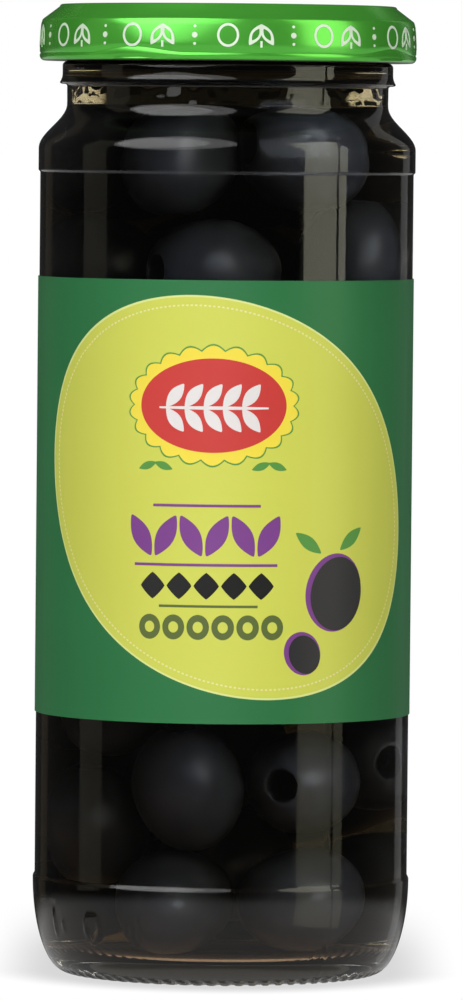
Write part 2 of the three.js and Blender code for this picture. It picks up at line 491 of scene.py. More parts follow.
@dataclass(frozen=True)
class OliveSkin(Finish):
    """Black olive skin, browner inside the pit hole."""

    skin: Mottle = Mottle((0.026, 0.029, 0.037), (0.04, 0.043, 0.054), 90.0)
    flesh: Colour = (0.012, 0.008, 0.006)
    refraction: float = 1.3

    def dress(self, graph: Graph) -> dict[str, object]:
        """Colours the skin, and the pit's wall by the mesh's own mask.

        Args:
            graph: The material's nodes.

        Returns:
            What the shader's inputs get, by name.
        """
        mask = graph.add("ShaderNodeAttribute", attribute_name=PIT_MASK).outputs["Fac"]
        mixed = graph.mixed(mask, self.skin.colour(graph), rgba(self.flesh))
        return {"Base Color": mixed, "IOR": self.refraction}


@dataclass(frozen=True)
class Coated(Finish):
    """A colour under a clear coat: print under varnish, or lacquer over sheet metal."""

    paint: Mottle = Mottle((0.5, 0.5, 0.5), (0.5, 0.5, 0.5), 100.0)
    metal: float = 0.0
    refraction: float = 1.5
    coat: float = 0.25
    coat_roughness: float = 0.3

    def dress(self, graph: Graph) -> dict[str, object]:
        """Colours the surface and lays the coat over it.

        Args:
            graph: The material's nodes.

        Returns:
            What the shader's inputs get, by name.
        """
        return {
            "Base Color": self.paint.colour(graph),
            "Metallic": self.metal,
            "IOR": self.refraction,
            "Coat Weight": self.coat,
            "Coat Roughness": self.coat_roughness,
        }


def ink(name: str, base: Colour, tint: Colour, roughness: float = 0.55) -> Coated:
    """An ink on paper grain that drifts finely between two colours.

    Args:
        name: The finish's name.
        base: One linear colour.
        tint: The other.
        roughness: The ink's roughness.

    Returns:
        The finish.
    """
    return Coated(name, roughness, PAPER_GRAIN, Mottle(base, tint, INK_SPOTS), refraction=INK_REFRACTION)


PIT_MASK = "pit"
INK_SPOTS = 60.0
INK_REFRACTION = 1.45
GLASS_REFRACTION = 1.5
BRINE_REFRACTION = 1.34
PAPER_GRAIN = Unevenness(2600.0, 0.004, 3.0)
GLASS_RIPPLE = Unevenness(42.0, 0.06, 1.0, (1.0, 1.0, 0.35))
GLASS = ClearGlass("glass_in_air", 0.0, GLASS_RIPPLE, GLASS_REFRACTION)
WET_GLASS = ClearGlass("glass_against_brine", 0.0, GLASS_RIPPLE, GLASS_REFRACTION / BRINE_REFRACTION)
BRINE_COLOUR = (0.6, 0.56, 0.43)
BRINE_DENSITY = 120.0
BRINE_SIDE = Liquid("brine", 0.0, GLASS_RIPPLE, 1.0, BRINE_COLOUR, BRINE_DENSITY)
BRINE_TOP = Liquid("brine_surface", 0.0, Unevenness(60.0, 0.05), BRINE_REFRACTION, BRINE_COLOUR,
                   BRINE_DENSITY)
OLIVE_SKIN = OliveSkin("black_olive_skin", 0.36, Unevenness(420.0, 0.06, 4.0))
LID_GREEN = Coated("green_lacquer", 0.24, Unevenness(48.0, 0.35, 1.0, (1.0, 1.0, 1.6)),
                   Mottle((0.11, 0.62, 0.06), (0.125, 0.66, 0.07), 30.0), metal=0.6, coat_roughness=0.12)
LABEL_GREEN = ink("label_green", (0.0155, 0.161, 0.045), (0.0175, 0.174, 0.05))
OVAL_YELLOW = ink("oval_yellow", (0.69, 0.725, 0.095), (0.71, 0.745, 0.105))
OVAL_EDGE = ink("oval_edge", (0.78, 0.86, 0.3), (0.8, 0.88, 0.34))
STITCH_CREAM = ink("stitch_cream", (0.86, 0.83, 0.36), (0.9, 0.86, 0.42))
SEAL_RED = ink("seal_red", (0.62, 0.035, 0.03), (0.66, 0.045, 0.035))
SEAL_YELLOW = ink("seal_yellow", (0.98, 0.78, 0.05), (1.0, 0.82, 0.07))
FINE_GREEN = ink("fine_green", (0.09, 0.3, 0.05), (0.1, 0.33, 0.06))
SPRIG_WHITE = ink("sprig_white", (0.85, 0.8, 0.78), (0.9, 0.86, 0.84))
PLUM = ink("plum", (0.2, 0.045, 0.26), (0.22, 0.052, 0.285))
BLACK_INK = ink("black_ink", (0.004, 0.004, 0.004), (0.007, 0.007, 0.007))
MOSS = ink("moss", (0.1, 0.14, 0.03), (0.115, 0.155, 0.036))
CHARCOAL = ink("charcoal", (0.014, 0.0135, 0.0165), (0.019, 0.0185, 0.022))
# A liner inside the lid, made dark as painted shade of the lid's underside and lower edge.
LID_LINER_SHADE = ink("lid_liner_shade", (0.05, 0.048, 0.042), (0.06, 0.057, 0.05), 0.5)
LID_WHITE = ink("lid_white", (0.75, 0.86, 0.68), (0.82, 0.92, 0.76), 0.3)


def linked(name: str, data: bpy.types.ID) -> Object:
    """Makes an object of a mesh, curve, camera or lamp.

    Args:
        name: The object's name.
        data: What it shows.

    Returns:
        The object, in the scene and at the origin.
    """
    made = bpy.data.objects.new(name, data)
    bpy.context.scene.collection.objects.link(made)
    return made


def piece(name: str, vertices: Sequence[Sequence[float]], faces: Sequence[Sequence[int]],
          finishes: Sequence[Finish], face_slots: Sequence[int] | None = None) -> Object:
    """Makes a smooth mesh object from points in millimetres.

    Args:
        name: The piece's name.
        vertices: Its points.
        faces: Its faces, as indices of points.
        finishes: The finishes of its material slots.
        face_slots: The slot of each face; all take the first without it.

    Returns:
        The object, in the scene and at the origin.
    """
    mesh = bpy.data.meshes.new(name)
    mesh.from_pydata([[value * MM for value in point] for point in vertices], [], faces)
    for finish in finishes:
        mesh.materials.append(finish.material())
    if face_slots:
        mesh.polygons.foreach_set("material_index", face_slots)
    mesh.shade_smooth()
    mesh.set_sharp_from_angle(angle=SHARP_ANGLE)
    return linked(name, mesh)


def point_values(mesh: bpy.types.Mesh, name: str, kind: str, values: Sequence[float]) -> None:
    """Stores one value, or three in a row, for each point of a mesh.

    Args:
        mesh: The mesh.
        name: The attribute's name.
        kind: Its data type.
        values: The numbers, point after point.
    """
    attribute = mesh.attributes.new(name, kind, "POINT")
    attribute.data.foreach_set("vector" if kind == "FLOAT_VECTOR" else "value", values)


def turned(name: str, profile: Profile, sides: int, finishes: Sequence[Finish],
           relief: Relief | None = None, run_slots: Sequence[int] | None = None) -> Object:
    """Revolves a profile about Z into a closed mesh.

    Args:
        name: The piece's name.
        profile: Radius and height of each row, up the outside and down the inside. It starts and
            ends on the axis, or closes on itself.
        sides: How many points go round.
        finishes: The finishes of the material slots.
        relief: Gives each point's shift in radius and height from its azimuth, radius and height.
        run_slots: The slot of each run between two rows.

    Returns:
        The new piece.
    """
    vertices: list[Corner] = []
    rows: list[list[int]] = []
    closed = profile[0] == profile[-1]
    for radius, height in profile[:-1] if closed else profile:
        first = len(vertices)
        if radius == 0.0:
            vertices.append((0.0, 0.0, height))
            rows.append([first] * sides)
            continue
        for i in range(sides):
            azimuth = 360.0 * i / sides
            out, up = relief(azimuth, radius, height) if relief else (0.0, 0.0)
            angle = radians(azimuth)
            vertices.append(((radius + out) * sin(angle), -(radius + out) * cos(angle), height + up))
        rows.append(list(range(first, first + sides)))
    if closed:
        rows.append(rows[0])
    faces: list[list[int]] = []
    slots: list[int] = []
    for run, (low, high) in enumerate(zip(rows, rows[1:])):
        for i in range(sides):
            j = (i + 1) % sides
            corners = [low[i], low[j], high[j], high[i]]
            faces.append(list(dict.fromkeys(corners)))
            slots.append(run_slots[run] if run_slots else 0)
    return piece(name, vertices, faces, finishes, slots)


FLOAT = "NodeSocketFloat"
WHOLE = "NodeSocketInt"
VECTOR = "NodeSocketVector"
MATERIAL = "NodeSocketMaterial"
COLLECTION = "NodeSocketCollection"
GEOMETRY = "NodeSocketGeometry"


class Trees:
    """The Geometry Nodes trees, each built once."""

    @staticmethod
    def _start(name: str, inputs: Mapping[str, str]) -> tuple[Graph, Sockets]:
        """Starts a tree with a geometry and further named inputs.

        Args:
            name: The tree's name.
            inputs: Each further input's socket type.

        Returns:
            The graph to fill and the sockets of its inputs.
        """
        tree = bpy.data.node_groups.new(name, "GeometryNodeTree")
        tree.interface.new_socket("Geometry", in_out="INPUT", socket_type=GEOMETRY)
        for socket_name, kind in inputs.items():
            tree.interface.new_socket(socket_name, in_out="INPUT", socket_type=kind)
        tree.interface.new_socket("Geometry", in_out="OUTPUT", socket_type=GEOMETRY)
        graph = Graph(tree)
        return graph, graph.add("NodeGroupInput").outputs

    @staticmethod
    def _wrap(graph: Graph, geometry: Socket, radius: Socket, lean: Socket | float = 0.0) -> Socket:
        """Bends flat geometry round the Z axis: x runs round, y runs up and z stands out.

        Args:
            graph: The tree to add to.
            geometry: The flat geometry.
            radius: The radius that z = 0 comes to lie on.
            lean: How far each point is drawn in from it.

        Returns:
            The bent geometry.
        """
        flat = graph.parts(graph.out("GeometryNodeInputPosition"))
        angle = graph.maths("DIVIDE", flat["X"], radius)
        distance = graph.maths("SUBTRACT", graph.maths("ADD", flat["Z"], radius), lean)
        depth = graph.maths("MULTIPLY", distance, graph.maths("COSINE", angle))
        bent = graph.out("ShaderNodeCombineXYZ", {
            "X": graph.maths("MULTIPLY", distance, graph.maths("SINE", angle)),
            "Y": graph.maths("MULTIPLY", depth, -1.0),
            "Z": flat["Y"],
        })
        return graph.out("GeometryNodeSetPosition", {"Geometry": geometry, "Position": bent})

    @staticmethod
    def _row(graph: Graph, points: Socket, collection: Socket, index: Socket,
             more: Mapping[str, object]) -> Socket:
        """Puts a member of a collection on each point.

        Args:
            graph: The tree to add to.
            points: The points.
            collection: The collection.
            index: Which of its members each point gets.
            more: What the members' rotation and scale get.

        Returns:
            The instances.
        """
        members = graph.out("GeometryNodeCollectionInfo", {
            "Collection": collection,
            "Separate Children": True,
            "Reset Children": True,
        })
        return graph.out("GeometryNodeInstanceOnPoints", {
            "Points": points,
            "Instance": members,
            "Pick Instance": True,
            "Instance Index": index,
            **more,
        })

    @staticmethod
    def _finish(graph: Graph, geometry: Socket, material: Socket) -> Tree:
        """Ends a tree with one material over the whole result.

        Args:
            graph: The tree to end.
            geometry: The result.
            material: The material.

        Returns:
            The tree.
        """
        coated = graph.out("GeometryNodeSetMaterial", {"Geometry": geometry, "Material": material})
        graph.add("NodeGroupOutput", {0: coated})
        return graph.tree

    @classmethod
    @cache
    def stitch_row(cls) -> Tree:
        """Stitches along a flat curve, wrapped round the jar."""
        graph, given = cls._start("stitch row", {
            "Pitch": FLOAT,
            "Stitch Size": VECTOR,
            "Radius": FLOAT,
            "Material": MATERIAL,
        })
        curve = graph.out("GeometryNodeResampleCurve", {
            "Curve": given["Geometry"],
            "Length": given["Pitch"],
        }, mode="LENGTH")
        tangent = graph.out("GeometryNodeInputTangent")
        facing = graph.out("FunctionNodeAlignRotationToVector", {"Vector": tangent}, axis="X")
        stitch = graph.out("GeometryNodeMeshCube", {
            "Size": given["Stitch Size"],
            "Vertices X": 3,
            "Vertices Y": 2,
            "Vertices Z": 2,
        })
        stitches = graph.out("GeometryNodeInstanceOnPoints", {
            "Points": curve,
            "Instance": stitch,
            "Rotation": facing,
        })
        real = graph.out("GeometryNodeRealizeInstances", {0: stitches})
        bent = cls._wrap(graph, real, given["Radius"])
        return cls._finish(graph, bent, given["Material"])

    @classmethod
    @cache
    def garland(cls) -> Tree:
        """Motifs of a collection one after another round a ring."""
        graph, given = cls._start("garland", {
            "Motifs": COLLECTION,
            "Kinds": WHOLE,
            "Count": WHOLE,
            "Height": FLOAT,
            "Radius": FLOAT,
            "Lean": FLOAT,
            "Lean Start": FLOAT,
            "Lean Height": FLOAT,
            "Material": MATERIAL,
        })
        girth = graph.maths("MULTIPLY", given["Radius"], 2.0 * pi)
        step = graph.maths("DIVIDE", girth, given["Count"])
        places = graph.out("GeometryNodeMeshLine", {
            "Count": given["Count"],
            "Start Location": graph.out("ShaderNodeCombineXYZ", {"Y": given["Height"]}),
            "Offset": graph.out("ShaderNodeCombineXYZ", {"X": step}),
        })
        turn = graph.maths("MODULO", graph.out("GeometryNodeInputIndex"), given["Kinds"])
        row = cls._row(graph, places, given["Motifs"], turn, {})
        real = graph.out("GeometryNodeRealizeInstances", {0: row})
        up = graph.parts(graph.out("GeometryNodeInputPosition"))["Y"]
        above = graph.maths("MAXIMUM", graph.maths("SUBTRACT", up, given["Lean Start"]), 0.0)
        share = graph.maths("POWER", graph.maths("DIVIDE", above, given["Lean Height"]), 2.0)
        lean = graph.maths("MULTIPLY", share, given["Lean"])
        bent = cls._wrap(graph, real, given["Radius"], lean)
        return cls._finish(graph, bent, given["Material"])

    @classmethod
    @cache
    def wrapped(cls) -> Tree:
        """A flat print, wrapped round the jar."""
        graph, given = cls._start("wrapped print", {"Radius": FLOAT, "Material": MATERIAL})
        real = graph.out("GeometryNodeRealizeInstances", {0: given["Geometry"]})
        bent = cls._wrap(graph, real, given["Radius"])
        return cls._finish(graph, bent, given["Material"])

    @classmethod
    @cache
    def olive_heap(cls) -> Tree:
        """An olive of the collection on each point, by the point's own turn, size and kind."""
        graph, given = cls._start("olive heap", {
            "Olives": COLLECTION,
            "Spin Seed": WHOLE,
            "Material": MATERIAL,
        })
        points = graph.out("GeometryNodeMeshToPoints", {0: given["Geometry"]})
        turn = graph.out("GeometryNodeInputNamedAttribute", {"Name": "turn"}, data_type="FLOAT_VECTOR")
        size = graph.out("GeometryNodeInputNamedAttribute", {"Name": "size"}, data_type="FLOAT_VECTOR")
        kind = graph.out("GeometryNodeInputNamedAttribute", {"Name": "kind"}, data_type="INT")
        heap = cls._row(graph, points, given["Olives"], kind, {
            "Rotation": graph.out("FunctionNodeEulerToRotation", {0: turn}),
            "Scale": size,
        })
        spin = graph.out("FunctionNodeRandomValue", {
            "Min": (0.0, 0.0, 0.0),
            "Max": (0.0, 0.0, 2.0 * pi),
            "Seed": given["Spin Seed"],
        }, data_type="FLOAT_VECTOR")
        spun = graph.out("GeometryNodeRotateInstances", {
            "Instances": heap,
            "Rotation": spin,
            "Local Space": True,
        })
        real = graph.out("GeometryNodeRealizeInstances", {0: spun})
        return cls._finish(graph, real, given["Material"])


def grown(name: str, source: Object, tree: Tree, inputs: Mapping[str, object]) -> Object:
    """Runs a Geometry Nodes tree on an object and keeps the result as a plain mesh.

    Args:
        name: The new piece's name.
        source: What the tree works on; it is removed.
        tree: The tree.
        inputs: The tree's named inputs.

    Returns:
        The new piece.
    """
    modifier = source.modifiers.new(tree.name, "NODES")
    modifier.node_group = tree
    identifiers = {
        item.name: item.identifier
        for item in tree.interface.items_tree if item.item_type == "SOCKET" and item.in_out == "INPUT"
    }
    for socket_name, value in inputs.items():
        modifier[identifiers[socket_name]] = value
    depsgraph = bpy.context.evaluated_depsgraph_get()
    mesh = bpy.data.meshes.new_from_object(
        source.evaluated_get(depsgraph), preserve_all_data_layers=True, depsgraph=depsgraph
    )
    mesh.name = name
    source.modifiers.remove(modifier)
    bpy.data.objects.remove(source)
    return linked(name, mesh)


def prototypes(name: str, members: Sequence[Object]) -> bpy.types.Collection:
    """Moves objects out of the scene into a collection of their own, for a tree to pick from.

    Args:
        name: The collection's name.
        members: The objects, whose names sort in the order they are picked.

    Returns:
        The collection.
    """
    collection = bpy.data.collections.new(name)
    for member in members:
        bpy.context.scene.collection.objects.unlink(member)
        collection.objects.link(member)
    return collection


def discard(collection: bpy.types.Collection) -> None:
    """Removes a collection of prototypes and what is in it.

    Args:
        collection: The collection.
    """
    for member in list(collection.objects):
        bpy.data.objects.remove(member)
    bpy.data.collections.remove(collection)


@dataclass
class GlassJar:
    """The glass: outside and inside of the wall, base, heel, shoulder, bead and rim."""

    top: float
    band_radius: float
    panel_radius: float = 32.68
    push_up: float = 2.8
    bearing_inner: float = 25.2
    bearing_outer: float = 27.0
    lower_band_top: float = 16.6
    upper_band_bottom: float = 140.5
    upper_band_top: float = 144.2
    ledge: float = 0.9
    upper_ledge: float = 0.45
    shoulder_top: float = 152.0
    neck_radius: float = 28.1
    bead_bottom: float = 155.5
    bead_top: float = 159.3
    bead_radius: float = 29.4
    bead_lip: float = 0.25
    bead_hollow: float = 0.48
    bead_flare: float = 1.55
    flare_steps: int = 11
    finish_radius: float = 28.0
    rim_edge: float = 0.6
    bore_radius: float = 30.2
    mouth_radius: float = 25.8
    floor_at_wall: float = 4.6
    floor_rise: float = 1.6
    corner_radius: float = 8.0
    inner_shoulder_bottom: float = 143.0
    inner_shoulder_top: float = 152.5
    fill_height: float = 158.6
    sides: int = 576
    knurls: int = 72
    knurl_depth: float = 0.32
    knurl_slant: float = 1.1
    knurl_inset: float = 0.6
    knurl_flanks: Pair = (-0.4, 0.6)
    knurl_fade: Pair = (0.7, 1.2)
    neck_waves: float = 0.1
    neck_wave_length: float = 2.6
    seam_azimuth: float = 35.0
    seam_bottom: float = 1.5
    seam_height: float = 0.1
    seam_width: float = 0.35

    def outside(self) -> Profile:
        """The profile of the outer face, from the middle of the base up to the rim."""
        heel_size = (self.band_radius - self.bearing_outer, self.lower_band_top)
        base = dish(self.bearing_inner, 0.0, self.push_up, 5)
        bearing = line(base[-1], (self.bearing_outer, 0.0), 6)
        heel = arc((self.bearing_outer, self.lower_band_top), heel_size, -90.0, 0.0, 27)[1:]
        low_ledge = s_curve(
            (self.band_radius, self.lower_band_top),
            (self.panel_radius, self.lower_band_top + self.ledge), 6,
        )
        high_ledge = s_curve(
            (self.panel_radius, self.upper_band_bottom - self.upper_ledge),
            (self.band_radius, self.upper_band_bottom), 6,
        )
        shoulder = s_curve(
            (self.band_radius, self.upper_band_top), (self.neck_radius, self.shoulder_top), 22
        )
        return [
            *base, *bearing, *heel, *low_ledge,
            *self.held(low_ledge[-1], high_ledge[0]), *high_ledge,
            *self.held(high_ledge[-1], shoulder[0]), *shoulder, *self.bead(), *self.rim(),
        ]

    def held(self, start: Pair, end: Pair) -> Profile:
        """A straight run between two curves, with close rows at both ends that keep its shading flat.

        Args:
            start: The last point of the curve below.
            end: The first point of the curve above.

        Returns:
            The points between them.
        """
        length = end[1] - start[1]
        near = [min(step, length * HOLDING_SHARE) for step in HOLDING_STEPS]
        rows = [start[1] + step for step in near] + [end[1] - step for step in reversed(near)]
        return [(start[0] + (end[0] - start[0]) * (z - start[1]) / length, z) for z in rows]

    def bead(self) -> Profile:
        """The neck and the bead: a lip, a hollow that flares up from it, a face and a round top."""
        lip = self.bead_bottom + self.bead_lip
        face_radius = self.bead_radius - self.bead_hollow
        flare = [
            (face_radius + self.bead_hollow * (1.0 - share) ** 2, lip + self.bead_flare * share)
            for share in (i / self.flare_steps for i in range(self.flare_steps))
        ]
        face = line((face_radius, lip + self.bead_flare - 0.15), (face_radius, self.bead_top - 0.5), 3)
        return [
            *self.held((self.neck_radius, self.shoulder_top), (self.neck_radius, self.bead_bottom - 0.4)),
            (self.neck_radius, self.bead_bottom - 0.4),
            (self.neck_radius + 0.06, self.bead_bottom - 0.2),
            (self.neck_radius + 0.3, self.bead_bottom - 0.06),
            (self.bead_radius - 0.4, self.bead_bottom - 0.02),
            (self.bead_radius - 0.1, self.bead_bottom + 0.08),
            *flare,
            *face,
            (face_radius - 0.1, self.bead_top - 0.2),
            (face_radius - 0.4, self.bead_top + 0.05),
            (self.finish_radius + 0.2, self.bead_top + 0.15),
            (self.finish_radius, self.bead_top + 0.5),
        ]

    def rim(self) -> Profile:
        """The rounded rim, over to the mouth."""
        middle = (self.finish_radius + self.mouth_radius) / 2.0
        half = (self.finish_radius - self.mouth_radius) / 2.0
        return arc((middle, self.top - self.rim_edge), (half, self.rim_edge), 0.0, 180.0, 8)

    def inside(self, grow: float = 0.0) -> Profile:
        """The profile of the inner face from the mouth down to the middle of the floor.

        Args:
            grow: How far the profile lies out in the glass.

        Returns:
            The points from the top of the inner shoulder down.
        """
        shoulder = s_curve(
            (self.bore_radius + grow, self.inner_shoulder_bottom),
            (self.mouth_radius + grow, self.inner_shoulder_top), 12,
        )
        centre = (self.bore_radius - self.corner_radius, self.floor_at_wall + self.corner_radius)
        size = self.corner_radius + grow
        corner = arc(centre, (size, size), 0.0, -90.0, 13)
        floor = dish(centre[0], self.floor_at_wall - grow, self.floor_rise, 5)
        wall = self.held(corner[0], shoulder[0])
        return [*shoulder[::-1], *wall[::-1], *corner, *floor[::-1][1:]]

    def relief(self, azimuth: float, radius: float, height: float) -> Pair:
        """Shifts the glass for the knurls, the mould seam, the neck's waves and the embossed marks.

        Args:
            azimuth: Degrees round the jar.
            radius: The row's radius.
            height: The row's height.

        Returns:
            The shift in radius and in height.
        """
        if radius < self.bore_radius and self.corner_radius < height < self.inner_shoulder_top:
            return 0.0, 0.0
        out = self.seam_height * self.seam(azimuth) if height > self.seam_bottom else 0.0
        if self.shoulder_top < height < self.bead_bottom and radius > self.mouth_radius:
            spot = point_at(azimuth, radius, height) / self.neck_wave_length
            out += self.neck_waves * noise.noise(spot)
        if radius > self.bore_radius:
            out += self.mould_marks(azimuth, height)
        up = 0.0
        if height < self.knurl_fade[1] and radius >= self.bearing_inner:
            along = (radius - self.bearing_inner) * self.knurl_slant
            wave = sin(radians(azimuth * self.knurls) + along)
            fade = smooth_step(self.bearing_inner, self.bearing_inner + self.knurl_inset, radius)
            fade *= 1.0 - smooth_step(*self.knurl_fade, height)
            up = self.knurl_depth * fade * smooth_step(*self.knurl_flanks, wave)
        return out, up

    def seam(self, azimuth: float) -> float:
        """How much of the mould seam's ridge stands at an azimuth, from 0 to 1.

        Args:
            azimuth: Degrees round the jar.

        Returns:
            The share of the ridge.
        """
        away = (azimuth - self.seam_azimuth + 90.0) % 180.0 - 90.0
        arc_length = radians(away) * self.band_radius
        return exp(-((arc_length / self.seam_width) ** 2))

    def mould_marks(self, azimuth: float, height: float) -> float:
        """The small ring, bar and dots that the mould leaves low on the heel.

        Args:
            azimuth: Degrees round the jar.
            height: Height on the heel.

        Returns:
            How far the marks stand out there.
        """
        if abs(height - MOULD_MARK_HEIGHT) >= MOULD_MARK_REACH:
            return 0.0
        out = 0.0
        for mark in MOULD_MARKS:
            around = (azimuth - mark.azimuth + 180.0) % 360.0 - 180.0
            out += mark.height_at(radians(around) * self.band_radius, height - MOULD_MARK_HEIGHT)
        return out

    def build(self) -> Object:
        """Makes the glass as one closed mesh, its inner face wet where the brine stands."""
        outside = self.outside()
        inside = self.inside()
        dry = line(outside[-1], (self.mouth_radius, self.fill_height), 3)
        wet = line(dry[-1], inside[0], 4)[:-1]
        profile = [*outside, *dry, *wet, *inside]
        first_wet = len(outside) + len(dry) - 1
        slots = [1 if run >= first_wet else 0 for run in range(len(profile) - 1)]
        made = turned("jar_glass", profile, self.sides, [GLASS, WET_GLASS], self.relief, slots)
        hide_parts("glass_jar")
        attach(made, BODY)
        return made


class MarkKind(Enum):
    """The shapes of the mould marks."""

    RING = "ring"
    DOT = "dot"
    BAR = "bar"


@dataclass(frozen=True)
class MouldMark:
    """One small embossed mark on the heel."""

    kind: MarkKind
    azimuth: float
    size: float
    relief: float = 0.22
    edge: Pair = (0.15, 0.6)
    dot_middle: float = 0.2

    def height_at(self, across: float, along: float) -> float:
        """How far the mark stands out.

        Args:
            across: Distance round the jar from its middle.
            along: Distance up from its middle.

        Returns:
            The relief in millimetres.
        """
        distance = hypot(across, along)
        if self.kind is MarkKind.RING:
            return self.relief * (1.0 - smooth_step(*self.edge, abs(distance - self.size)))
        if self.kind is MarkKind.BAR:
            beyond = hypot(across, max(abs(along) - self.size, 0.0))
            return self.relief * (1.0 - smooth_step(*self.edge, beyond))
        return self.relief * (1.0 - smooth_step(self.dot_middle, self.size, distance))


HOLDING_STEPS = (0.15, 0.5, 1.4)
HOLDING_SHARE = 0.4
MOULD_MARK_HEIGHT = 9.4
MOULD_MARK_REACH = 4.0
MOULD_MARKS = (
    MouldMark(MarkKind.BAR, -62.0, 1.4),
    MouldMark(MarkKind.DOT, -57.0, 0.9),
    MouldMark(MarkKind.RING, -43.0, 1.7),
    MouldMark(MarkKind.DOT, -29.0, 0.9),
    MouldMark(MarkKind.BAR, -25.5, 1.4),
    MouldMark(MarkKind.DOT, -22.0, 0.9),
)


MENISCUS_SHARES = (0.0, 0.2, 0.45, 0.7, 1.0)


@dataclass
class Brine:
    """The brine round the olives, which reaches just into the wall."""

    jar: GlassJar
    into_wall: float = 0.5
    meniscus: float = 0.7
    meniscus_stretch: float = 2.5
    sides: int = 192

    def build(self) -> Object:
        """Makes the brine as one closed mesh with its own top face."""
        inside = self.jar.inside(self.into_wall)
        edge = self.jar.mouth_radius + self.into_wall
        level = self.jar.fill_height
        side = [*inside[::-1], *line(inside[0], (edge, level), 4)]
        width = self.meniscus * self.meniscus_stretch
        top = [
            (edge - self.into_wall - width * share, level - self.meniscus * (1.0 - (1.0 - share) ** 2))
            for share in MENISCUS_SHARES
        ]
        profile = [*side, *top, (0.0, level - self.meniscus)]
        slots = [0 if run < len(side) - 1 else 1 for run in range(len(profile) - 1)]
        made = turned("brine", profile, self.sides, [BRINE_SIDE, BRINE_TOP], None, slots)
        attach(made, BODY)
        return made


class Draw:
    """Repeatable draws from a seed."""

    MULTIPLIER = 16807
    MODULUS = 2147483647

    def __init__(self, seed: int) -> None:
        """Starts from a seed above nought."""
        self.state = seed

    def between(self, low: float, high: float) -> float:
        """The next draw between two numbers."""
        self.state = (self.state * self.MULTIPLIER) % self.MODULUS
        return low + (high - low) * self.state / self.MODULUS

    def about(self, spread: float) -> float:
        """The next draw to either side of nought."""
        return self.between(-spread, spread)


UP = Vector((0.0, 0.0, 1.0))


def point_at(azimuth: float, distance: float, height: float) -> Vector:
    """The point at an azimuth in degrees, a distance from the axis and a height."""
    angle = radians(azimuth)
    return Vector((distance * sin(angle), -distance * cos(angle), height))


def pit_direction(azimuth: float, roll: float, pitch: float) -> Vector:
    """The direction of an olive's pit hole.

    Args:
        azimuth: Where the olive lies, in degrees.
        roll: How far it leans along the wall from upright.
        pitch: How far its hole turns out to the wall.

    Returns:
        A unit vector.
    """
    sideways = point_at(azimuth + 90.0, 1.0, 0.0) * cos(radians(pitch)) * sin(radians(roll))
    outward = point_at(azimuth, 1.0, 0.0) * sin(radians(pitch))
    return sideways + outward + UP * cos(radians(pitch)) * cos(radians(roll))


@dataclass
class Olive:
    """One olive in the heap, with the share of a push that it gives way to."""

    centre: Vector
    direction: Vector
    radius: float
    half_length: float
    give: float

    def reach(self, along: Vector) -> float:
        """How far the olive reaches from its centre along a unit vector."""
        lengthwise = along.dot(self.direction)
        return sqrt((self.half_length * lengthwise) ** 2 + self.radius**2 * (1.0 - lengthwise**2))


@dataclass(frozen=True)
class FrontOlive:
    """An olive that shows at the front, with its place against the wall and its lie in degrees."""

    azimuth: float
    height: float
    roll: float
    pitch: float


FRONT_OLIVES = (
    FrontOlive(-16, 142.0, 25, -62),
    FrontOlive(-6, 123.4, -90, 31),
    FrontOlive(62, 128.5, 4, 0),
    FrontOlive(36, 145.0, -80, -10),
    FrontOlive(-10, 33.5, -6, 10),
    FrontOlive(-25, 14.4, 0, -75),
    FrontOlive(-64, 25.5, 3, 4),
    FrontOlive(-52, 48.0, 60, 12),
    FrontOlive(94, 39.0, -90, 27),
    FrontOlive(44, 35.5, -90, 30),
    FrontOlive(38, 14.6, 85, 5),
    FrontOlive(-74, 123.0, -75, 35),
)


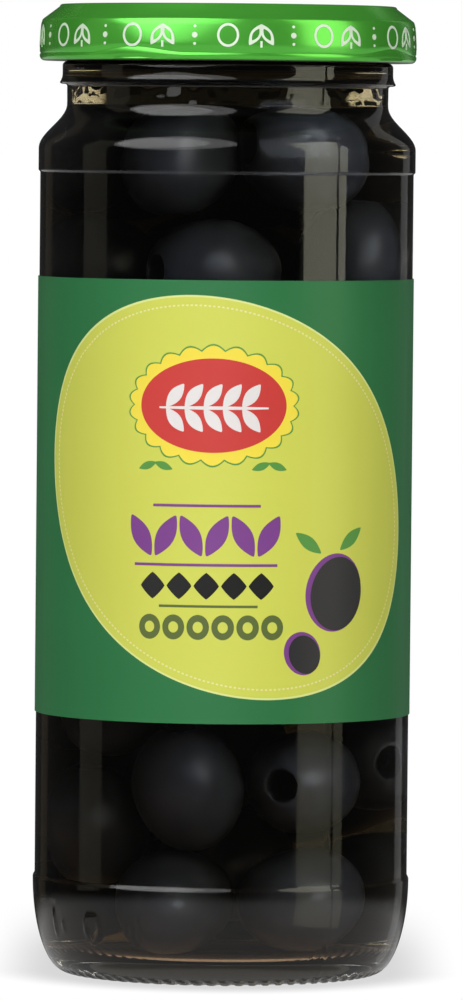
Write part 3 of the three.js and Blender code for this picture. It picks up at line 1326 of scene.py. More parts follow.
@dataclass
class OliveKind:
    """One kind of olive at unit size, where a metre stands for its half size, its pit hole at the top."""

    index: int
    sides: int = 40
    rows: int = 30
    hole_radius: float = 0.355
    hole_depth: float = 1.25
    hole_taper: float = 0.05
    hole_rows: int = 6
    swell: float = 0.035
    swell_middle: float = 0.55
    swells: float = 1.6
    offset: Corner = (7.3, 1.9, 4.1)
    pucker: float = 0.012
    pucker_reach: float = 0.12
    pucker_folds: float = 9.0
    tip: float = 0.05
    tip_radius: float = 0.1
    tip_top: float = -0.9
    mask_rows: float = 4.0

    def relief(self, azimuth: float, radius: float, height: float) -> Pair:
        """The skin's own unevenness, a pucker at the hole and a shallow mark at the other end.

        Args:
            azimuth: Degrees round the olive.
            radius: The row's radius.
            height: The row's height.

        Returns:
            The shift in radius and in height.
        """
        radius *= MM
        height *= MM
        spot = point_at(azimuth, radius, height) * self.swells + Vector(self.offset) * (self.index + 1)
        swell = self.swell * (noise.noise(spot) - self.swell_middle)
        folds = cos(self.pucker_folds * radians(azimuth) + self.index) - 1.0
        pucker = self.pucker * exp(-((1.0 - height) / self.pucker_reach)) * folds
        out = (swell + pucker) * min(radius * 3.0, 1.0)
        up = self.tip * exp(-((radius / self.tip_radius) ** 2)) if height < self.tip_top else 0.0
        return out / MM, up / MM

    def build(self) -> Object:
        """Makes the olive, with a mask that marks the wall of its hole."""
        sweep = acos(self.hole_radius) + pi / 2.0
        angles = [-pi / 2.0 + sweep * i / self.rows for i in range(1, self.rows + 1)]
        skin = [(0.0, -1.0), *((cos(a), sin(a)) for a in angles)]
        lip_height = skin[-1][1]
        lip = [
            (self.hole_radius - 0.012, lip_height - 0.004),
            (self.hole_radius - 0.022, lip_height - 0.022),
        ]
        bore = [
            (self.hole_radius - 0.03 - self.hole_taper * i / self.hole_rows,
             lip_height - 0.06 - self.hole_depth * i / self.hole_rows)
            for i in range(self.hole_rows + 1)
        ]
        profile = [*skin, *lip, *bore, (0.0, bore[-1][1] - 0.08)]
        made = turned(f"olive_kind_{self.index}", [(r / MM, z / MM) for r, z in profile], self.sides,
                      [OLIVE_SKIN], self.relief)
        mask = [0.0] * (1 + self.rows * self.sides)
        for row in range(len(lip) + len(bore)):
            mask += [smooth_step(0.0, self.mask_rows, row)] * self.sides
        mask.append(1.0)
        point_values(made.data, PIT_MASK, "FLOAT", mask)
        return made


@dataclass
class OliveHeap:
    """The loose olives: those at the front, rings along the wall and a column up the middle."""

    heap_radius: float = 30.05
    bottom: float = 4.9
    shoulder: float = 151.6
    neck: float = 157.5
    neck_column: float = 12.0
    ring_radius: float = 20.6
    ring_count: int = 6
    ring_pitch: float = 18.0
    first_ring: float = 14.5
    last_ring: float = 146.0
    ring_room: float = 16.5
    column_radius: float = 2.0
    column_pitch: float = 19.0
    column_top: float = 152.0
    azimuth_play: float = 5.0
    height_play: float = 2.0
    ring_roll: float = 100.0
    ring_tilt: float = 35.0
    column_roll: float = 90.0
    column_tilt: float = 60.0
    radius_range: Pair = (9.0, 9.5)
    slimness_range: Pair = (1.18, 1.26)
    front_give: float = 0.1
    passes: int = 120
    step: float = 0.8
    seed: int = 3
    spin_seed: int = 5
    kinds: int = 3
    turned_about: tuple[int, ...] = (42,)
    olives: list[Olive] = field(default_factory=list)

    def place(self) -> None:
        """Fills the list of olives and settles them, so that they barely press into each other."""
        draw = Draw(self.seed)
        for front in FRONT_OLIVES:
            centre = point_at(front.azimuth, self.ring_radius, front.height)
            self.add(draw, centre, pit_direction(front.azimuth, front.roll, front.pitch), self.front_give)
        self.place_rings(draw)
        self.place_column(draw)
        for _ in range(self.passes):
            self.settle()
        for index in self.turned_about:
            self.olives[index].direction.negate()

    def place_rings(self, draw: Draw) -> None:
        """Adds rings of olives along the wall, wherever there is room for one.

        Args:
            draw: Where the draws come from.
        """
        ring = 0
        height = self.first_ring
        while height < self.last_ring:
            for i in range(self.ring_count):
                azimuth = (i + (ring % 2) / 2.0) * 360.0 / self.ring_count + draw.about(self.azimuth_play)
                centre = point_at(azimuth, self.ring_radius, height + draw.about(self.height_play))
                roll = draw.about(self.ring_roll)
                direction = pit_direction(azimuth, roll, draw.about(self.ring_tilt))
                if all((olive.centre - centre).length > self.ring_room for olive in self.olives):
                    self.add(draw, centre, direction, 1.0)
            ring += 1
            height += self.ring_pitch

    def place_column(self, draw: Draw) -> None:
        """Adds a column of olives up the middle.

        Args:
            draw: Where the draws come from.
        """
        height = self.first_ring + self.ring_pitch / 2.0
        while height < self.column_top:
            azimuth = draw.between(0.0, 360.0)
            roll = draw.about(self.column_roll)
            direction = pit_direction(azimuth, roll, draw.about(self.column_tilt))
            self.add(draw, point_at(azimuth, self.column_radius, height), direction, 1.0)
            height += self.column_pitch

    def settle(self) -> None:
        """Pushes every pair of olives apart once, and keeps them all inside the jar."""
        for i, one in enumerate(self.olives):
            for other in self.olives[i + 1:]:
                self.push_apart(one, other)
        for olive in self.olives:
            self.keep_inside(olive)

    def add(self, draw: Draw, centre: Vector, direction: Vector, give: float) -> None:
        """Adds an olive whose size is drawn.

        Args:
            draw: Where the draws come from.
            centre: The olive's centre.
            direction: Where its pit hole points.
            give: The share of a push that it gives way to.
        """
        radius = draw.between(*self.radius_range)
        half_length = radius * draw.between(*self.slimness_range)
        self.olives.append(Olive(centre, direction, radius, half_length, give))

    def push_apart(self, one: Olive, other: Olive) -> None:
        """Pushes two olives apart where they overlap.

        Args:
            one: An olive.
            other: Another olive.
        """
        across = other.centre - one.centre
        distance = across.length
        across /= distance
        overlap = one.reach(across) + other.reach(across) - distance
        if overlap <= 0.0:
            return
        push = self.step * overlap / (one.give + other.give)
        one.centre -= across * push * one.give
        other.centre += across * push * other.give

    def keep_inside(self, olive: Olive) -> None:
        """Pulls an olive back inside the jar.

        Args:
            olive: The olive.
        """
        distance = hypot(olive.centre.x, olive.centre.y)
        outward = Vector((olive.centre.x, olive.centre.y, 0.0)) / distance
        furthest = self.heap_radius - olive.reach(outward)
        if distance > furthest:
            olive.centre.x *= furthest / distance
            olive.centre.y *= furthest / distance
        rise = olive.reach(UP)
        ceiling = self.neck if min(distance, furthest) < self.neck_column else self.shoulder
        olive.centre.z = min(max(olive.centre.z, self.bottom + rise), ceiling - rise)

    def build(self) -> Object:
        """Makes the heap as one mesh of whole olives."""
        self.place()
        mesh = bpy.data.meshes.new("olive_places")
        mesh.from_pydata([olive.centre * MM for olive in self.olives], [], [])
        turns = [UP.rotation_difference(olive.direction).to_euler() for olive in self.olives]
        sizes = [Vector((olive.radius, olive.radius, olive.half_length)) * MM for olive in self.olives]
        point_values(mesh, "turn", "FLOAT_VECTOR", [angle for turn in turns for angle in turn])
        point_values(mesh, "size", "FLOAT_VECTOR", [length for size in sizes for length in size])
        point_values(mesh, "kind", "INT", [i % self.kinds for i in range(len(self.olives))])
        places = linked("olive_places", mesh)
        kinds = prototypes("olive kinds", [OliveKind(i).build() for i in range(self.kinds)])
        made = grown("olive_heap", places, Trees.olive_heap(), {
            "Olives": kinds,
            "Spin Seed": self.spin_seed,
            "Material": OLIVE_SKIN.material(),
        })
        discard(kinds)
        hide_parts("olives")
        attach(made, BODY)
        return made


@dataclass(frozen=True)
class Patch:
    """A flat printed shape: a centre, an outline round it and the size of its hole."""

    x: float
    y: float
    outline: Outline
    turn: float = 0.0
    hole: float = 0.0
    rings: int = 4
    spokes: int = 48

    def corners(self, height: float) -> list[Corner]:
        """The patch's points at one height, ring by ring from the inside out.

        Args:
            height: Their height.

        Returns:
            The points.
        """
        points = []
        for ring in range(self.rings + 1):
            share = self.hole + (1.0 - self.hole) * ring / self.rings
            for spoke in range(self.spokes):
                along, up = self.outline(2.0 * pi * spoke / self.spokes)
                turn = radians(self.turn)
                points.append((
                    self.x + share * (along * cos(turn) - up * sin(turn)),
                    self.y + share * (along * sin(turn) + up * cos(turn)),
                    height,
                ))
        return points

    def faces(self) -> list[list[int]]:
        """The patch's faces, as indices into its low points followed by its high ones."""
        count = self.spokes * (self.rings + 1)
        faces = []
        for ring in range(self.rings):
            for spoke in range(self.spokes):
                after = (spoke + 1) % self.spokes
                low = ring * self.spokes
                quad = [low + spoke, low + self.spokes + spoke, low + self.spokes + after, low + after]
                faces.append([corner + count for corner in quad])
                faces.append(quad[::-1])
        for ring in (0, self.rings) if self.hole else (self.rings,):
            for spoke in range(self.spokes):
                after = (spoke + 1) % self.spokes
                low = ring * self.spokes
                wall = [low + spoke, low + after, low + after + count, low + spoke + count]
                faces.append(wall if ring else wall[::-1])
        return faces


def ellipse(half_width: float, half_height: float, lean: float = 0.0) -> Outline:
    """An ellipse, whose top may lean sideways.

    Args:
        half_width: Half its width.
        half_height: Half its height.
        lean: How far a point moves sideways for each unit of height.

    Returns:
        The outline.
    """
    return lambda a: (half_width * cos(a) + lean * half_height * sin(a), half_height * sin(a))


def lozenge(half_width: float, half_height: float, fullness: float) -> Outline:
    """A lozenge with softly rounded corners.

    Args:
        half_width: Half its width.
        half_height: Half its height.
        fullness: From 1, a plain lozenge, to 2, an ellipse.

    Returns:
        The outline.
    """
    def outline(angle: float) -> Pair:
        """The point of the lozenge at an angle.

        Args:
            angle: The angle.

        Returns:
            The point.
        """
        across, up = cos(angle), sin(angle)
        size = (abs(across) ** fullness + abs(up) ** fullness) ** (-1.0 / fullness)
        return half_width * across * size, half_height * up * size
    return outline


def leaf(half_length: float, half_width: float) -> Outline:
    """A leaf that is pointed at both ends.

    Args:
        half_length: Half its length.
        half_width: Half its width.

    Returns:
        The outline.
    """
    pointed = 0.55
    fullness = 1.1
    return lambda a: (
        half_length * cos(a), half_width * sin(a) * (1.0 - pointed * cos(a) ** 2) * fullness
    )


def scallop(half_width: float, half_height: float, lobes: int, depth: float) -> Outline:
    """An oval seal with a scalloped edge.

    Args:
        half_width: Half its width without the lobes.
        half_height: Half its height without the lobes.
        lobes: How many lobes go round.
        depth: How far the lobes stand out.

    Returns:
        The outline.
    """
    def outline(angle: float) -> Pair:
        """The point of the edge at an angle.

        Args:
            angle: The angle.

        Returns:
            The point.
        """
        out = depth * abs(sin(lobes * angle / 2.0))
        return (half_width + out) * cos(angle), (half_height + out) * sin(angle)
    return outline


@dataclass(frozen=True)
class Stroke:
    """A thin printed straight line, narrowing to both ends where it tapers."""

    start: Pair
    end: Pair
    half_width: float = 0.2
    taper: float = 0.0
    steps: int = 40

    def corners(self, height: float) -> list[Corner]:
        """The line's points at one height, in pairs across it.

        Args:
            height: Their height.

        Returns:
            The points.
        """
        points = []
        along = Vector(self.end) - Vector(self.start)
        for i in range(self.steps + 1):
            share = i / self.steps
            here = Vector(self.start) + along * share
            across = Vector((-along.y, along.x)).normalized()
            across *= self.half_width * (1.0 - self.taper * abs(2.0 * share - 1.0) ** 2)
            for side in (1.0, -1.0):
                points.append((here.x + across.x * side, here.y + across.y * side, height))
        return points

    def faces(self) -> list[list[int]]:
        """The line's faces, as indices into its low points followed by its high ones."""
        count = 2 * (self.steps + 1)
        faces = []
        for i in range(0, count - 2, 2):
            left, right, next_left, next_right = i, i + 1, i + 2, i + 3
            faces.append([left + count, right + count, next_right + count, next_left + count])
            faces.append([left, next_left, next_right, right])
            faces.append([right, next_right, next_right + count, right + count])
            faces.append([left, left + count, next_left + count, next_left])
        faces.append([0, 1, 1 + count, count])
        faces.append([count - 1, count - 2, 2 * count - 2, 2 * count - 1])
        return faces


def flat_print(name: str, shapes: Sequence[Patch | Stroke], finish: Finish,
               depth: float) -> Object:
    """Makes one thin closed sheet for each shape, all in one flat object.

    Args:
        name: The object's name.
        shapes: The shapes.
        finish: Their finish.
        depth: The height of their printed face above the surface they lie on.

    Returns:
        The flat object.
    """
    vertices: list[Corner] = []
    faces: list[list[int]] = []
    for shape in shapes:
        base = len(vertices)
        vertices += shape.corners(-PRINT_SINK)
        vertices += shape.corners(depth)
        faces += [[base + corner for corner in face] for face in shape.faces()]
    made = piece(name, vertices, faces, [finish])
    close_middles(made)
    return made


def close_middles(made: Object) -> None:
    """Merges the points that meet in the middle of a patch without a hole.

    Args:
        made: The object with the patch.
    """
    work = bmesh.new()
    work.from_mesh(made.data)
    bmesh.ops.remove_doubles(work, verts=work.verts, dist=MERGE_DISTANCE)
    bmesh.ops.dissolve_degenerate(work, edges=work.edges, dist=SHORTEST_EDGE)
    work.to_mesh(made.data)
    work.free()


PRINT_SINK = 0.03
PRINT_STEP = 0.012


@dataclass(frozen=True)
class Print:
    """One printed piece: its shapes, their finish and how many prints lie under it."""

    name: str
    shapes: Sequence[Patch | Stroke]
    finish: Finish
    layer: int = 2


@dataclass
class Label:
    """The wrapped paper label and the fields and motifs that are printed on it."""

    bottom: float
    top: float
    radius: float
    thickness: float = 0.2
    lap: float = 0.06
    lap_sweep: float = 20.0
    sides: int = 288
    oval_x: float = 1.1
    oval_y: float = 84.6
    oval_half_width: float = 36.6
    oval_half_height: float = 34.4
    oval_lean: float = -0.2
    oval_edge: float = 0.35
    stitch_inset: float = 1.4
    stitch_pitch: float = 0.78
    stitch_size: Corner = (0.42, 0.26, 0.02)
    stitch_points: int = 240
    seal_x: float = -2.0
    seal_y: float = 100.4
    seal_half_width: float = 14.0
    seal_half_height: float = 9.3
    seal_edge: float = 0.3
    seal_lobes: int = 22
    seal_lobe_depth: float = 1.0
    plum_y: float = 78.0
    black_y: float = 69.4
    moss_y: float = 62.3

    def paper(self) -> Object:
        """The paper strip, with its lapped end at the back."""
        inner = self.radius - self.thickness
        start = (inner, self.bottom)
        rows = line((self.radius, self.bottom), (self.radius, self.top), 12)
        profile = [start, (self.radius, self.bottom), *rows, (inner, self.top), start]

        def relief(azimuth: float, radius: float, height: float) -> Pair:
            """Lifts the lapped end a little off the strip below it.

            Args:
                azimuth: Degrees round the jar.
                radius: The row's radius.
                height: The row's height; not used.

            Returns:
                The shift in radius and in height.
            """
            lapped = radius >= self.radius and 180.0 <= azimuth < 180.0 + self.lap_sweep
            return (self.lap if lapped else 0.0), 0.0

        made = turned("label_paper", profile, self.sides, [LABEL_GREEN], relief)
        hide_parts("label")
        return made

    def printed(self, motif: Print) -> Object:
        """Wraps a print's flat shapes round the label.

        Args:
            motif: The print.

        Returns:
            The new piece.
        """
        height = PRINT_STEP * (motif.layer + 1)
        flat = flat_print(f"{motif.name}_flat", motif.shapes, motif.finish, height)
        return grown(motif.name, flat, Trees.wrapped(), {
            "Radius": self.radius * MM,
            "Material": motif.finish.material(),
        })

    def stitching(self) -> Object:
        """The stitched line inside the oval's edge."""
        outline = self.oval(-self.stitch_inset)
        curve = bpy.data.curves.new("stitch_path", "CURVE")
        curve.dimensions = "3D"
        spline = curve.splines.new("POLY")
        spline.points.add(self.stitch_points - 1)
        spline.use_cyclic_u = True
        for i, point in enumerate(spline.points):
            along, up = outline(2.0 * pi * i / self.stitch_points)
            point.co = ((self.oval_x + along) * MM, (self.oval_y + up) * MM, PRINT_STEP * 3.0 * MM, 1.0)
        path = linked("stitch_path", curve)
        return grown("label_stitching", path, Trees.stitch_row(), {
            "Pitch": self.stitch_pitch * MM,
            "Stitch Size": Vector(self.stitch_size) * MM,
            "Radius": self.radius * MM,
            "Material": STITCH_CREAM.material(),
        })

    def oval(self, grow: float) -> Outline:
        """The big oval's outline, grown by some millimetres."""
        return ellipse(self.oval_half_width + grow, self.oval_half_height + grow, self.oval_lean)

    def fields(self) -> list[Print]:
        """The big oval and its pale rim."""
        rim, inner = (
            Patch(self.oval_x, self.oval_y, self.oval(grow), rings=28, spokes=224)
            for grow in (self.oval_edge, 0.0)
        )
        return [Print("oval_rim", [rim], OVAL_EDGE, 0), Print("oval_field", [inner], OVAL_YELLOW, 1)]

    def seal(self) -> list[Print]:
        """The scalloped seal with its sprig."""
        x, y = self.seal_x, self.seal_y
        width, height = self.seal_half_width, self.seal_half_height
        outline, border = (
            Patch(x, y, scallop(width + grow, height + grow, self.seal_lobes, self.seal_lobe_depth),
                  rings=10, spokes=10 * self.seal_lobes)
            for grow in (self.seal_edge, 0.0)
        )
        middle = Patch(x, y, ellipse(12.8, 8.1), rings=9, spokes=120)
        stem = Stroke((x - 9.4, y - 0.4), (x + 9.6, y - 0.4), 0.3, 0.5)
        leaves = [
            Patch(x + 3.3 * i, y + side * 2.1 - 0.4, leaf(2.5, 1.0), turn=side * 52.0)
            for i in range(-2, 3) for side in (-1, 1)
        ]
        return [
            Print("seal_outline", [outline], FINE_GREEN, 2),
            Print("seal_border", [border], SEAL_YELLOW, 3),
            Print("seal_field", [middle], SEAL_RED, 4),
            Print("seal_sprig", [stem, *leaves], SPRIG_WHITE, 5),
        ]

    def rows(self) -> list[Print]:
        """The rows of small motifs under the seal, and the lines between them."""
        small_leaves = [(-13.5, 20.0), (-10.6, -20.0), (6.4, 20.0), (9.3, -20.0)]
        plum_lines = [Stroke((-12.4, 83.2), (6.4, 83.2), 0.24), Stroke((-15.8, 73.0), (9.4, 73.0), 0.24)]
        return [
            Print("small_leaves", [Patch(x, 90.0, leaf(1.7, 0.6), turn=turn) for x, turn in small_leaves],
                  FINE_GREEN),
            Print("plum_leaves", [
                Patch(-14.6 + 4.5 * i, self.plum_y, leaf(3.9, 1.5), turn=62.0 if i % 2 else 118.0)
                for i in range(6)
            ], PLUM),
            Print("plum_lines", plum_lines, PLUM),
            Print("black_lozenges", [
                Patch(-12.4 + 4.75 * i, self.black_y, lozenge(2.2, 2.3, 1.15)) for i in range(5)
            ], BLACK_INK),
            Print("moss_line", [Stroke((-11.2, 65.9), (6.0, 65.9), 0.22)], MOSS),
            Print("moss_rings", [
                Patch(-12.9 + 4.3 * i, self.moss_y, ellipse(1.95, 2.15), hole=0.45) for i in range(6)
            ], MOSS),
        ]

    def fruit(self) -> list[Print]:
        """The two dark fruits, each with a plum edge that shows on its left, and their leaves."""
        return [
            Print("fruit_edges", [
                Patch(20.6, 68.2, ellipse(5.9, 6.8), turn=-14.0, rings=5),
                Patch(14.2, 57.8, ellipse(3.4, 3.8), turn=24.0, rings=5),
            ], PLUM),
            Print("fruits", [
                Patch(21.1, 68.0, ellipse(5.4, 6.4), turn=-14.0, rings=5),
                Patch(14.6, 57.6, ellipse(2.9, 3.4), turn=24.0, rings=5),
            ], CHARCOAL, 3),
            Print("fruit_leaves", [
                Patch(15.2, 76.8, leaf(3.0, 1.0), turn=-36.0),
                Patch(24.0, 77.4, leaf(3.0, 1.0), turn=38.0),
            ], FINE_GREEN),
        ]

    def build(self) -> list[Object]:
        """Makes the paper, the fields and the motifs."""
        pieces = [self.paper()]
        pieces += [self.printed(motif) for motif in self.fields()]
        pieces.append(self.stitching())
        pieces += [self.printed(motif) for motif in (*self.seal(), *self.rows(), *self.fruit())]
        for made in pieces:
            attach(made, BODY)
        return pieces


@dataclass
class Lid:
    """The metal lid and the ornament printed round its skirt."""

    bottom: float
    top: float
    radius: float
    ornament_depth: float = 0.04
    wall: float = 0.25
    bevel_bottom: float = 166.6
    crown_radius: float = 29.1
    panel_radius: float = 24.0
    panel_drop: float = 0.6
    button_radius: float = 11.0
    button_rise: float = 0.25
    curl: float = 0.9
    lean: float = 0.34
    lean_start: float = 162.0
    lug_count: int = 4
    lug_azimuth: float = -30.0
    lug_half_width: float = 18.0
    lug_depth: float = 0.2
    lug_bottom: float = 0.5
    groove_bottom: float = 2.0
    groove_top: float = 2.65
    groove_drop: float = 1.0
    sides: int = 288
    motif_count: int = 36
    motif_height: float = 163.9

    def skin_radius(self) -> float:
        """The skirt's radius, which leaves room for the ornament inside the lid's own box."""
        return self.radius - self.ornament_depth

    def skirt_radius(self, height: float) -> float:
        """The skirt's radius at a height: upright below, drawn in a little towards the bevel."""
        share = max(height - self.lean_start, 0.0) / (self.bevel_bottom - self.lean_start)
        return self.skin_radius() - self.lean * share ** 2

    def lug(self, azimuth: float) -> float:
        """How fully a lug is pressed into the lower edge at an azimuth, from 0 to 1.

        Args:
            azimuth: Degrees round the lid.

        Returns:
            The share of the lug's depth.
        """
        pitch = 360.0 / self.lug_count
        away = abs((azimuth - self.lug_azimuth + pitch / 2.0) % pitch - pitch / 2.0)
        return 1.0 - smooth_step(0.0, self.lug_half_width, away)

    def relief(self, azimuth: float, radius: float, height: float) -> Pair:
        """Presses the lugs into the rolled edge and lowers the groove between them.

        Args:
            azimuth: Degrees round the lid.
            radius: The row's radius.
            height: The row's height.

        Returns:
            The shift in radius and in height.
        """
        rise = height - self.bottom
        if radius < self.skin_radius() - 0.2 or not self.lug_bottom < rise < self.groove_top:
            return 0.0, 0.0
        lug = self.lug(azimuth)
        if rise > self.groove_bottom:
            return 0.0, -self.groove_drop * (1.0 - lug)
        return -self.lug_depth * lug, 0.0

    def outline(self) -> Profile:
        """The sheet's profile: underside, curl, skirt, bevel, crown and panel."""
        skin = self.skin_radius()
        inner = skin - self.wall
        panel = self.top - self.panel_drop
        under = panel - self.wall
        bevel = (self.bevel_bottom - self.wall, self.top - self.wall)
        button_top = panel + self.button_rise
        button = s_curve((self.button_radius + 1.2, panel), (self.button_radius, button_top), 5)
        step = s_curve((self.panel_radius, panel), (self.panel_radius + 1.0, self.top), 7)
        upright = line((0.0, self.bottom + 2.7), (0.0, self.bevel_bottom - 0.6), 10)
        return [
            (0.0, under),
            *line((0.0, under), (self.panel_radius, under), 4),
            (self.panel_radius + 1.0, bevel[1]),
            (self.crown_radius - 0.15, bevel[1]),
            (inner - self.lean, bevel[0]),
            (inner, self.lean_start),
            (inner, self.bottom + 2.0 * self.curl + 0.5),
            *arc((skin - self.curl, self.bottom + self.curl), (self.curl, self.curl), 60.0, 360.0, 16),
            (skin - 0.02, self.bottom + 2.1),
            (skin - 0.16, self.bottom + 2.35),
            (skin - 0.02, self.bottom + 2.6),
            *((self.skirt_radius(z), z) for _, z in upright),
            *arc((skin - self.lean - 0.9, self.bevel_bottom - 0.4), (0.9, 0.9), 12.0, 44.0, 6),
            (self.crown_radius + 0.45, self.top - 0.45),
            *arc((self.crown_radius - 0.1, self.top - 0.6), (0.6, 0.6), 52.0, 90.0, 4),
            *step[::-1],
            *button,
            (0.0, button_top),
        ]

    def ornament(self) -> Object:
        """The white garland of rings, leaves and dots round the skirt."""
        shapes = {
            "motif_0_ring": [Patch(0.0, 0.0, ellipse(1.9, 2.05), hole=0.78, rings=2, spokes=40)],
            "motif_1_leaves": [
                Patch(-1.0, 0.1, leaf(2.1, 0.85), turn=58.0, hole=0.55, rings=2, spokes=32),
                Patch(1.0, 0.1, leaf(2.1, 0.85), turn=122.0, hole=0.55, rings=2, spokes=32),
                Stroke((0.0, -2.1), (0.0, -1.0), 0.2, steps=4),
            ],
            "motif_2_dot": [
                Patch(0.0, 0.0, ellipse(0.5, 0.5), rings=2, spokes=24),
                Patch(0.0, 1.5, ellipse(0.26, 0.26), rings=2, spokes=16),
                Patch(0.0, -1.5, ellipse(0.26, 0.26), rings=2, spokes=16),
            ],
        }
        motifs = prototypes("lid motifs", [
            flat_print(name, parts, LID_WHITE, self.ornament_depth) for name, parts in shapes.items()
        ])
        seed = linked("garland_seed", bpy.data.meshes.new("garland_seed"))
        made = grown("lid_garland", seed, Trees.garland(), {
            "Motifs": motifs,
            "Kinds": len(motifs.objects),
            "Count": self.motif_count,
            "Height": self.motif_height * MM,
            "Radius": self.skin_radius() * MM,
            "Lean": self.lean * MM,
            "Lean Start": self.lean_start * MM,
            "Lean Height": (self.bevel_bottom - self.lean_start) * MM,
            "Material": LID_WHITE.material(),
        })
        discard(motifs)
        return made

    def build(self) -> list[Object]:
        """Makes the sheet metal and its ornament."""
        outline = self.outline()
        # The underside and the curl, to two rows past its lowest point, take the dark liner: painted shade
        # for the lid's underside and lower edge.
        liner_shade_end = min(range(len(outline)), key=lambda row: outline[row][1]) + 2
        slots = [1 if run < liner_shade_end else 0 for run in range(len(outline) - 1)]
        sheet = turned("lid_sheet", outline, self.sides, [LID_GREEN, LID_LINER_SHADE], self.relief, slots)
        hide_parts("lid")
        pieces = [sheet, self.ornament()]
        for made in pieces:
            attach(made, BODY)
        return pieces


class LampShape(Enum):
    """The shapes of a softbox, each with the share of its width times height that it fills."""

    RECTANGLE = 1.0
    ELLIPSE = pi / 4.0


class Rays(Flag):
    """The kinds of ray that find a softbox."""

    DIFFUSE = auto()
    GLOSSY = auto()
    THROUGH_GLASS = auto()


@dataclass(frozen=True)
class Lamp:
    """A softbox, placed by its direction from the jar."""

    name: str
    rays: Rays
    azimuth: float
    elevation: float
    distance: float
    width: float
    height: float
    radiance: float
    colour: Colour = WHITE
    shape: LampShape = LampShape.RECTANGLE

    def build(self, target: Vector) -> Object:
        """Places the softbox so that it faces the target.

        Args:
            target: What it is turned to, in metres.

        Returns:
            The lamp's object.
        """
        light = bpy.data.lights.new(self.name, "AREA")
        light.shape = self.shape.name
        light.size = self.width
        light.size_y = self.height
        light.energy = self.radiance * pi * self.width * self.height * self.shape.value
        light.color = self.colour
        lamp = linked(self.name, light)
        flat = cos(radians(self.elevation))
        away = point_at(self.azimuth, flat, sin(radians(self.elevation)))
        lamp.location = target + away * self.distance
        lamp.rotation_euler = away.to_track_quat("Z", "Y").to_euler()
        lamp.visible_camera = False
        lamp.visible_diffuse = Rays.DIFFUSE in self.rays
        lamp.visible_glossy = Rays.GLOSSY in self.rays
        lamp.visible_transmission = Rays.THROUGH_GLASS in self.rays
        return lamp


STRIP_RAYS = Rays.GLOSSY | Rays.THROUGH_GLASS
LAMPS = (
    Lamp("key_softbox", Rays.GLOSSY, -38.0, 38.0, 1.3, 1.8, 1.7, 1.5, shape=LampShape.ELLIPSE),
    Lamp("key_core", Rays.GLOSSY, -46.0, 39.0, 1.25, 1.2, 1.2, 1.6, shape=LampShape.ELLIPSE),
    Lamp("right_strip", STRIP_RAYS, 63.0, 23.0, 1.3, 0.75, 1.3, 1.95, (1.0, 0.98, 0.76)),
    Lamp("right_strip_foot", STRIP_RAYS, 63.0, -13.0, 1.3, 0.75, 0.42, 0.5, (1.0, 0.98, 0.68)),
    Lamp("left_strip", STRIP_RAYS, -88.0, 16.0, 1.4, 0.5, 1.3, 0.17, (1.0, 0.95, 0.76)),
    Lamp("front_fill", Rays.DIFFUSE, -4.0, 14.0, 1.8, 1.2, 1.2, 5.8),
    Lamp("fill_for_the_olives", Rays.THROUGH_GLASS, 44.0, 26.0, 1.3, 0.8, 0.8, 9.8, (0.8, 0.88, 1.0)),
    Lamp("overhead", Rays.DIFFUSE, 0.0, 89.0, 1.4, 1.4, 1.4, 0.9),
    Lamp("right_rim", Rays.GLOSSY, 142.0, 5.0, 1.3, 0.3, 1.6, 0.22),
    Lamp("left_rim", Rays.GLOSSY, -142.0, 5.0, 1.3, 0.3, 1.6, 0.05, (1.0, 0.8, 0.52)),
    Lamp("right_edge", Rays.DIFFUSE, 138.0, 12.0, 1.3, 0.5, 1.0, 4.5),
    Lamp("left_edge", Rays.DIFFUSE, -138.0, 12.0, 1.3, 0.5, 1.0, 4.5),
)


